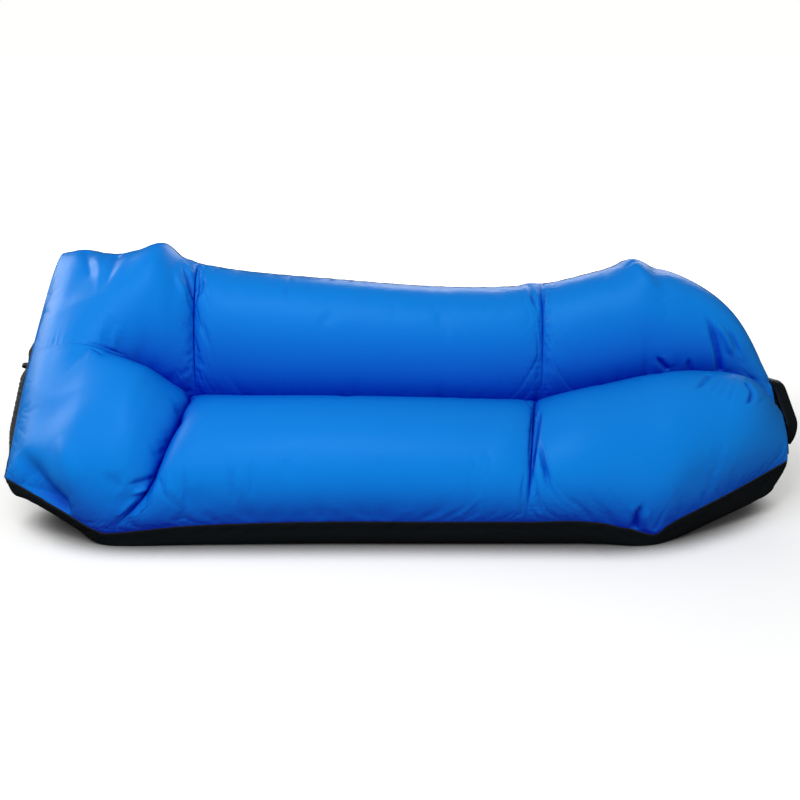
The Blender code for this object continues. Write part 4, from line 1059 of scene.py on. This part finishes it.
def lens(half_width, half_thickness, pointed, points):
    """A closed lens outline: with cusps where pointed is 2, and like a rounded slab well below 1."""
    turn = 2 * math.pi * np.arange(points) / points
    height = half_thickness * np.sign(np.sin(turn)) * np.abs(np.sin(turn)) ** pointed
    return half_width * np.cos(turn), height


def mouth_lens(upper_face, lower_face):
    """Middle, chord direction, half chord and the fabric's two heights of a chamber's open end."""
    _, _, normal, _ = mouth_frame()
    at, middle = np.array((MOUTH_SHARE,)), np.array((0, 0.5, 1))
    upper, lower = face_points(upper_face, at, middle)[0], face_points(lower_face, at, middle)[0]
    centre = (upper[0] + upper[2]) / 2
    chord = upper[2] - upper[0]
    square = unit(normal - chord * (normal @ chord) / (chord @ chord))
    return centre, chord, square, (upper[1] - centre) @ square, (lower[1] - centre) @ square


# How far the outer sides of the front and the rear sleeve puff outward between mouth and roll.
SLEEVE_SWELL = (0.004, 0.018)


def make_sleeves():
    """The black sleeves in the two chamber ends: pleats that deepen on their way into the roll."""
    outward = mouth_frame()[3]
    hinge, along, normal, roll_out = roll_frame()
    outer_half = ROLL_STRAIGHT / 4 - SLEEVE_PARTING
    for k, (name, upper, lower, side) in enumerate((
        ("front_mouth_sleeve", "seat", "base", -1),
        ("rear_mouth_sleeve", "back", "rear", 1),
    )):
        centre, chord, square, high, low = mouth_lens(upper, lower)
        inner_half = np.linalg.norm(chord) / 2 - SLEEVE_SIDE_MARGIN
        inner_height = (high - low) / 2 - 0.003
        chord = unit(chord)
        middle = centre + square * (high + low) / 2
        neck_length = (1 - SLEEVE_NECK_SHARE) * SLEEVE_OUTSIDE
        gathered = hinge + side * (outer_half + SLEEVE_PARTING) * along - neck_length * roll_out
        rings = []
        turn = 2 * math.pi * np.arange(96) / 96
        pleat = noise_line(turn * 0.02, 0.0115, 600 + 9 * k, 2)
        for ease in np.concatenate((np.linspace(-1, 0, 8)[:-1], np.linspace(0, 1, 22))):
            inside = min(ease, 0) * (SLEEVE_INSIDE + SLEEVE_STRAIGHT) + SLEEVE_STRAIGHT
            share = min(max(ease, 0) / SLEEVE_NECK_SHARE, 1)
            wide = inner_half + (outer_half - inner_half) * share
            high_now = inner_height + (SLEEVE_END_HALF - inner_height) * share
            pointed = LENS_POINTED_SHARES[0] * (1 - share) + LENS_POINTED_SHARES[1] * share
            x, y = lens(wide, high_now, pointed, len(turn))
            y = y * (1 + (0.30 - 0.12 * share) * np.maximum(ease, 0) ** 0.7 * (pleat - 1))
            root = middle + inside * outward
            place = root + (gathered - root) * share
            place = place + max(ease - SLEEVE_NECK_SHARE, 0) * SLEEVE_OUTSIDE * roll_out
            chord_now = chord + (along - chord) * share
            square_now = square + (normal - square) * share
            swell = SLEEVE_SWELL[k] * math.sin(math.pi * share) * smoothstep(side * x / wide)
            ring = place + x[:, None] * chord_now + y[:, None] * square_now
            rings.append(ring + swell[:, None] * roll_out)
        piece = add_grid(f"{name}_cloth", np.array(rings), BLACK, SLEEVE_WALL, closed=True)
        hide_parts(name)
        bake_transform(piece)


def to_frame(points):
    """Points in the closure's own x, y and z carried to the model's frame."""
    hinge, along, normal, outward = roll_frame()
    return hinge + points @ np.array((along, normal, outward))


def roll_middle():
    return SEAT_GAP + ROLL_WIDTH / 2


def roll_path(distance):
    """Point and direction on the roll's U path, at a distance from its middle, in the closure's x and y."""
    side = -1 if distance < 0 else 1
    run = abs(distance)
    straight, bend = ROLL_STRAIGHT / 2, ROLL_BEND * math.pi / 2
    if run <= straight:
        return side * run, 0, 0
    turn = (run - straight) / ROLL_BEND if run <= straight + bend else math.pi / 2
    beyond = max(run - straight - bend, 0)
    x = straight + ROLL_BEND * math.sin(turn)
    y = -ROLL_BEND * (1 - math.cos(turn)) - beyond
    return side * x, y, side * turn


def roll_half():
    return ROLL_STRAIGHT / 2 + ROLL_BEND * math.pi / 2 + ROLL_TAIL


# How much narrower the roll is at its lower and its upper end, and how far its upper inner corner rises.
ROLL_SLIM = (0.32, 0.14)
ROLL_PEAK = 0.026


def make_roll():
    """The two mouths rolled up together: a flattened spiral whose outer layers are creased by the bends."""
    per_turn = 24
    turns = (np.arange(int(ROLL_TURNS * per_turn)) + 0.5) / per_turn
    inward = ROLL_PITCH * turns + 0.0008
    wide, high = ROLL_WIDTH / 2 - inward, ROLL_THICKNESS / 2 - inward
    angle = math.pi + 2 * math.pi * turns
    across = np.sign(np.cos(angle)) * (wide - high) + high * np.cos(angle)
    up = high * np.sin(angle)
    distances = np.linspace(-roll_half(), roll_half(), 120)
    outermost = np.exp(-turns / 0.9)
    rings = []
    for k, distance in enumerate(distances):
        x, y, turn = roll_path(distance)
        out = np.array((math.sin(turn), math.cos(turn), 0))
        bend = 1 if 0.5 * ROLL_STRAIGHT < abs(distance) < 0.5 * ROLL_STRAIGHT + 1.57 * ROLL_BEND else 0.35
        inside = np.clip(-up / ROLL_THICKNESS + 0.5, 0, 1)
        crease = noise_line(np.full(len(turns), distance) + 0.05 * across, 0.017, 700, 2)
        slack = noise_line(across * 1.0 + 0.4 * distance, 0.021, 710, 2)
        shrink = 0.0011 * bend * inside * (crease - 0.6) + 0.0005 * (slack - 0.8)
        grow = 1 + shrink * outermost / (ROLL_THICKNESS / 2)
        place = np.array((x, y, roll_middle()))
        slim = 1 - ROLL_SLIM[1 if distance > 0 else 0] * smoothstep((abs(distance) - 0.045) / 0.075)
        side = (across + ROLL_WIDTH / 2) * slim - ROLL_WIDTH / 2
        lean = ROLL_PEAK * smoothstep((distance - 0.05) / 0.06) * (0.5 - side / ROLL_WIDTH)
        place = place + np.array((1, 0, 0)) * lean[:, None]
        rings.append(place + (up * grow)[:, None] * out + side[:, None] * np.array((0, 0, 1)))
    piece = add_grid("rolled_mouth", to_frame(np.array(rings)), BLACK, ROLL_LAYER, offset=0)
    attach(piece, "closure")
    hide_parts("closure_roll")


def core_seat(thickness):
    """How far inside the roll's middle line a strip lies that rests on the core's last layer."""
    high = ROLL_THICKNESS / 2 - ROLL_PITCH * (ROLL_TURNS - 0.25) - 0.0008
    return high - 0.0008 - SEAT_GAP - thickness / 2


def buckle_drop():
    return ROLL_BEND + ROLL_TAIL + STRAP_LEAD + STRAP_BEND


def strap_path(bar):
    """The webbing's middle line: out of the roll's end, round to the bar, about it and back beside itself."""
    cad_webbing = 0.0016
    end_x = ROLL_STRAIGHT / 2 + ROLL_BEND - core_seat(cad_webbing)
    end_y = -ROLL_BEND - ROLL_TAIL
    line = [(end_x, end_y + STRAP_TUCK), (end_x, end_y), (end_x, end_y - STRAP_LEAD)]
    for k in range(1, 9):
        turn = math.pi / 2 * k / 8
        x, y = end_x - STRAP_BEND * (1 - math.cos(turn)), end_y - STRAP_LEAD - STRAP_BEND * math.sin(turn)
        line.append((x, y))
    level = -buckle_drop()
    centre = bar + BAR / 2
    around = CLEARANCE + cad_webbing / 2
    radius_x, radius_y = BAR / 2 + around, BAR_THICKNESS / 2 + around
    reach = centre + radius_x
    line.append((reach + 0.006, level + 0.0002))
    line.append((reach + 0.002, level + radius_y * 0.45))
    for k in range(0, 17):
        turn = math.radians(60 + 262 * k / 16)
        line.append((centre + radius_x * math.cos(turn), level + radius_y * math.sin(turn)))
    line.append((reach + 0.0012, level - 0.0022))
    return np.array(line)


def make_straps():
    for name, side, bar in (("lower_strap", -1, LOWER_BAR), ("upper_strap", 1, UPPER_BAR)):
        flat = catmull(strap_path(bar), 4)
        line = np.stack((side * flat[:, 0], flat[:, 1], np.full(len(flat), roll_middle())), axis=1)
        piece = add_webbing(f"{name}_webbing", to_frame(line), roll_frame()[3], WEBBING_WIDTH)
        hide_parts(name)
        if side < 0:
            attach(piece, "closure")
        else:
            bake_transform(piece)


def make_buckle():
    moulded = ("buckle_housing", "buckle_plug", "outer_prong", "inner_prong")
    strips = ("front_mouth_stiffener", "rear_mouth_stiffener")
    for material, names in ((PLASTIC, moulded), (STRIP, strips)):
        for name in names:
            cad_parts[name].data.materials.clear()
            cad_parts[name].data.materials.append(material)


def anchor_frame():
    low, high = seam("front", HEAD_END_SHARE)[0], seam("top", HEAD_END_SHARE)[0]
    middle = seam("groove", HEAD_END_SHARE)[0]
    along = unit(high - low)
    outward = unit(np.array((-1, 0, 0)) + along[0] * along)
    droop = 2 * math.pi * ANCHOR_DROOP_SHARE
    outward = math.cos(droop) * outward - math.sin(droop) * np.cross(along, outward)
    return middle, outward, np.cross(along, outward), along


def make_anchor():
    """The loop for a ground peg: webbing folded into an eye, its two legs sewn together at the seam."""
    middle, outward, side, along = anchor_frame()
    length = ANCHOR_LENGTH - WEBBING / 2
    turn = np.linspace(0, 2 * math.pi, 61)[1:-1]
    x = ANCHOR_START + ANCHOR_ROOT * 0.7 + (length - ANCHOR_ROOT * 0.7) * (1 - np.cos(turn)) / 2
    y = (ANCHOR_EYE / 2 + WEBBING / 2) * np.sin(turn) * np.abs(np.sin(turn / 2))
    y = np.sign(y) * np.maximum(np.abs(y), WEBBING * 0.52)
    flat = np.stack((x, y), axis=1)
    root = np.array(((ANCHOR_START, WEBBING * 0.52), (ANCHOR_START + 0.003, WEBBING * 0.52)))
    flat = np.concatenate((root, flat, root[::-1] * (1, -1)))
    flat = resampled(flat, 110)
    line = middle + flat[:, :1] * outward + flat[:, 1:] * side
    piece = add_webbing("anchor_webbing", line, along, ANCHOR_WIDTH, 5)
    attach(piece, "anchor")
    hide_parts("anchor_loop")


make_panels()
make_seams()
make_end_hem()
make_partition()
make_sleeves()
make_roll()
make_straps()
make_buckle()
make_anchor()


# Studio

# Lamps: name, place, what it points at, width and height, power, and whether it lights the cloth and whether
# its gloss shows it.
LAMPS = (
    ("overhead", (-0.25, -0.95, 3.05), (-0.05, -0.1, 0.3), (1.1, 1.5), 9, False, True),
    ("window", (-3.0, 0.95, 1.70), (-0.9, -0.05, 0.38), (2.2, 1.7), 60, False, True),
    ("ceiling", (-1.15, -1.7, 2.9), (0.0, 0.0, 0.2), (2.4, 2.0), 62, True, False),
    ("fill", (1.5, -2.8, 0.45), (0.3, -0.3, 0.15), (2.8, 0.8), 12, True, False),
    ("rear", (0.9, 3.1, 1.3), (0.1, 0.3, 0.3), (2.6, 1.0), 26, True, True),
)
WORLD_LIGHT = 0.47
BACKDROP = (1, 1, 0.985, 1)
BACKGROUND_GLOSS = 0.01
FLOOR_SEEN = 0.94
FLOOR_BOUNCE = 0.50
FLOOR_GLOSS = 0.02
FLOOR_CAMERA_LIGHT = 0.20
FLOOR_FAR_LIGHT = 1.0
FLOOR_FADE = (1.1, 3.2)
# Painted contact shadow on the floor: how far round it looks, the open shares over which it fades, and the
# floor's colour where it is darkest.
CONTACT_SHADOW_REACH = 0.14
CONTACT_SHADOW_SHARES = (0.40, 0.85)
CONTACT_SHADOW_SEEN = 0.20
FLOOR_EDGE = 14.0
FLOOR_LEVEL = -0.0008


def seen_directly(tree):
    """Whether the camera or glass looks here, and whether a reflection does."""
    path = add_node(tree, "LightPath", {}).outputs
    return maths(tree, "MAXIMUM", path["Is Camera Ray"], path["Is Transmission Ray"]), path["Is Glossy Ray"]


def make_world():
    world = bpy.data.worlds.new("studio")
    bpy.context.scene.world = world
    world.use_nodes = True
    tree = world.node_tree
    directly, glossy = seen_directly(tree)
    strength = maths(tree, "MULTIPLY_ADD", directly, 1 - WORLD_LIGHT, WORLD_LIGHT)
    strength = maths(tree, "MULTIPLY_ADD", glossy, BACKGROUND_GLOSS - WORLD_LIGHT, strength)
    set_inputs(tree, tree.nodes["Background"], {"Color": BACKDROP, "Strength": strength})


def grey(value):
    return (value, value, value, 1)


def floor_material():
    """A pale floor that keeps the soft shadow its lamps cast, darkened near the object by a painted contact
    shadow, sends little light up and runs out to white.
    """
    material, tree = new_material("studio_floor")
    directly, glossy = seen_directly(tree)
    place = add_node(tree, "NewGeometry", {}).outputs["Position"]
    away = add_node(tree, "VectorMath", {0: place}, operation="LENGTH").outputs["Value"]
    far = ranged(tree, away, FLOOR_FADE, (FLOOR_CAMERA_LIGHT, FLOOR_FAR_LIGHT), "SMOOTHSTEP")
    # Painted contact shadow: the floor's colour and glow darken where the object closes it in.
    painted_shadow_openness = ranged(tree, openness(tree, CONTACT_SHADOW_REACH, 16), CONTACT_SHADOW_SHARES, kind="SMOOTHSTEP")
    colours = (
        mixed(tree, glossy, grey(FLOOR_BOUNCE), grey(FLOOR_GLOSS)),
        mixed(tree, painted_shadow_openness, grey(CONTACT_SHADOW_SEEN), grey(FLOOR_SEEN)),
    )
    plain, shown = (add_node(tree, "BsdfDiffuse", {"Color": colour}).outputs["BSDF"] for colour in colours)
    either = add_node(tree, "MixShader", {0: directly, 1: plain, 2: shown}).outputs["Shader"]
    seen = maths(tree, "MULTIPLY_ADD", glossy, BACKGROUND_GLOSS, directly)
    strength = maths(tree, "MULTIPLY", maths(tree, "MULTIPLY", far, painted_shadow_openness), seen)
    glow = add_node(tree, "Emission", {"Color": BACKDROP, "Strength": strength}).outputs["Emission"]
    total = add_node(tree, "AddShader", {0: either, 1: glow}).outputs["Shader"]
    set_inputs(tree, tree.nodes["Material Output"], {"Surface": total})
    return material


def make_stage():
    scene = bpy.context.scene
    scene.view_settings.view_transform = "Standard"
    make_world()
    corners = [(x * FLOOR_EDGE, y * FLOOR_EDGE, FLOOR_LEVEL) for x, y in ((-1, -1), (1, -1), (1, 1), (-1, 1))]
    add_mesh("floor", corners, [(0, 1, 2, 3)], floor_material())
    for name, place, aim, size, power, lighting, shown in LAMPS:
        lamp = bpy.data.lights.new(name, "AREA")
        lamp.shape = "RECTANGLE"
        lamp.size, lamp.size_y = size
        lamp.energy = power
        obj = bpy.data.objects.new(name, lamp)
        scene.collection.objects.link(obj)
        obj.visible_diffuse, obj.visible_glossy = lighting, shown
        obj.location = place
        obj.rotation_euler = (Vector(aim) - Vector(place)).to_track_quat("-Z", "Y").to_euler()
    camera = bpy.data.cameras.new("camera")
    camera.lens = LENS
    camera.sensor_width = SENSOR
    camera.clip_end = 60
    viewer = bpy.data.objects.new("camera", camera)
    scene.collection.objects.link(viewer)
    viewer.location = camera_place()
    viewer.rotation_euler = (math.pi / 2 - ELEVATION, 0, 0)
    scene.camera = viewer


make_stage()
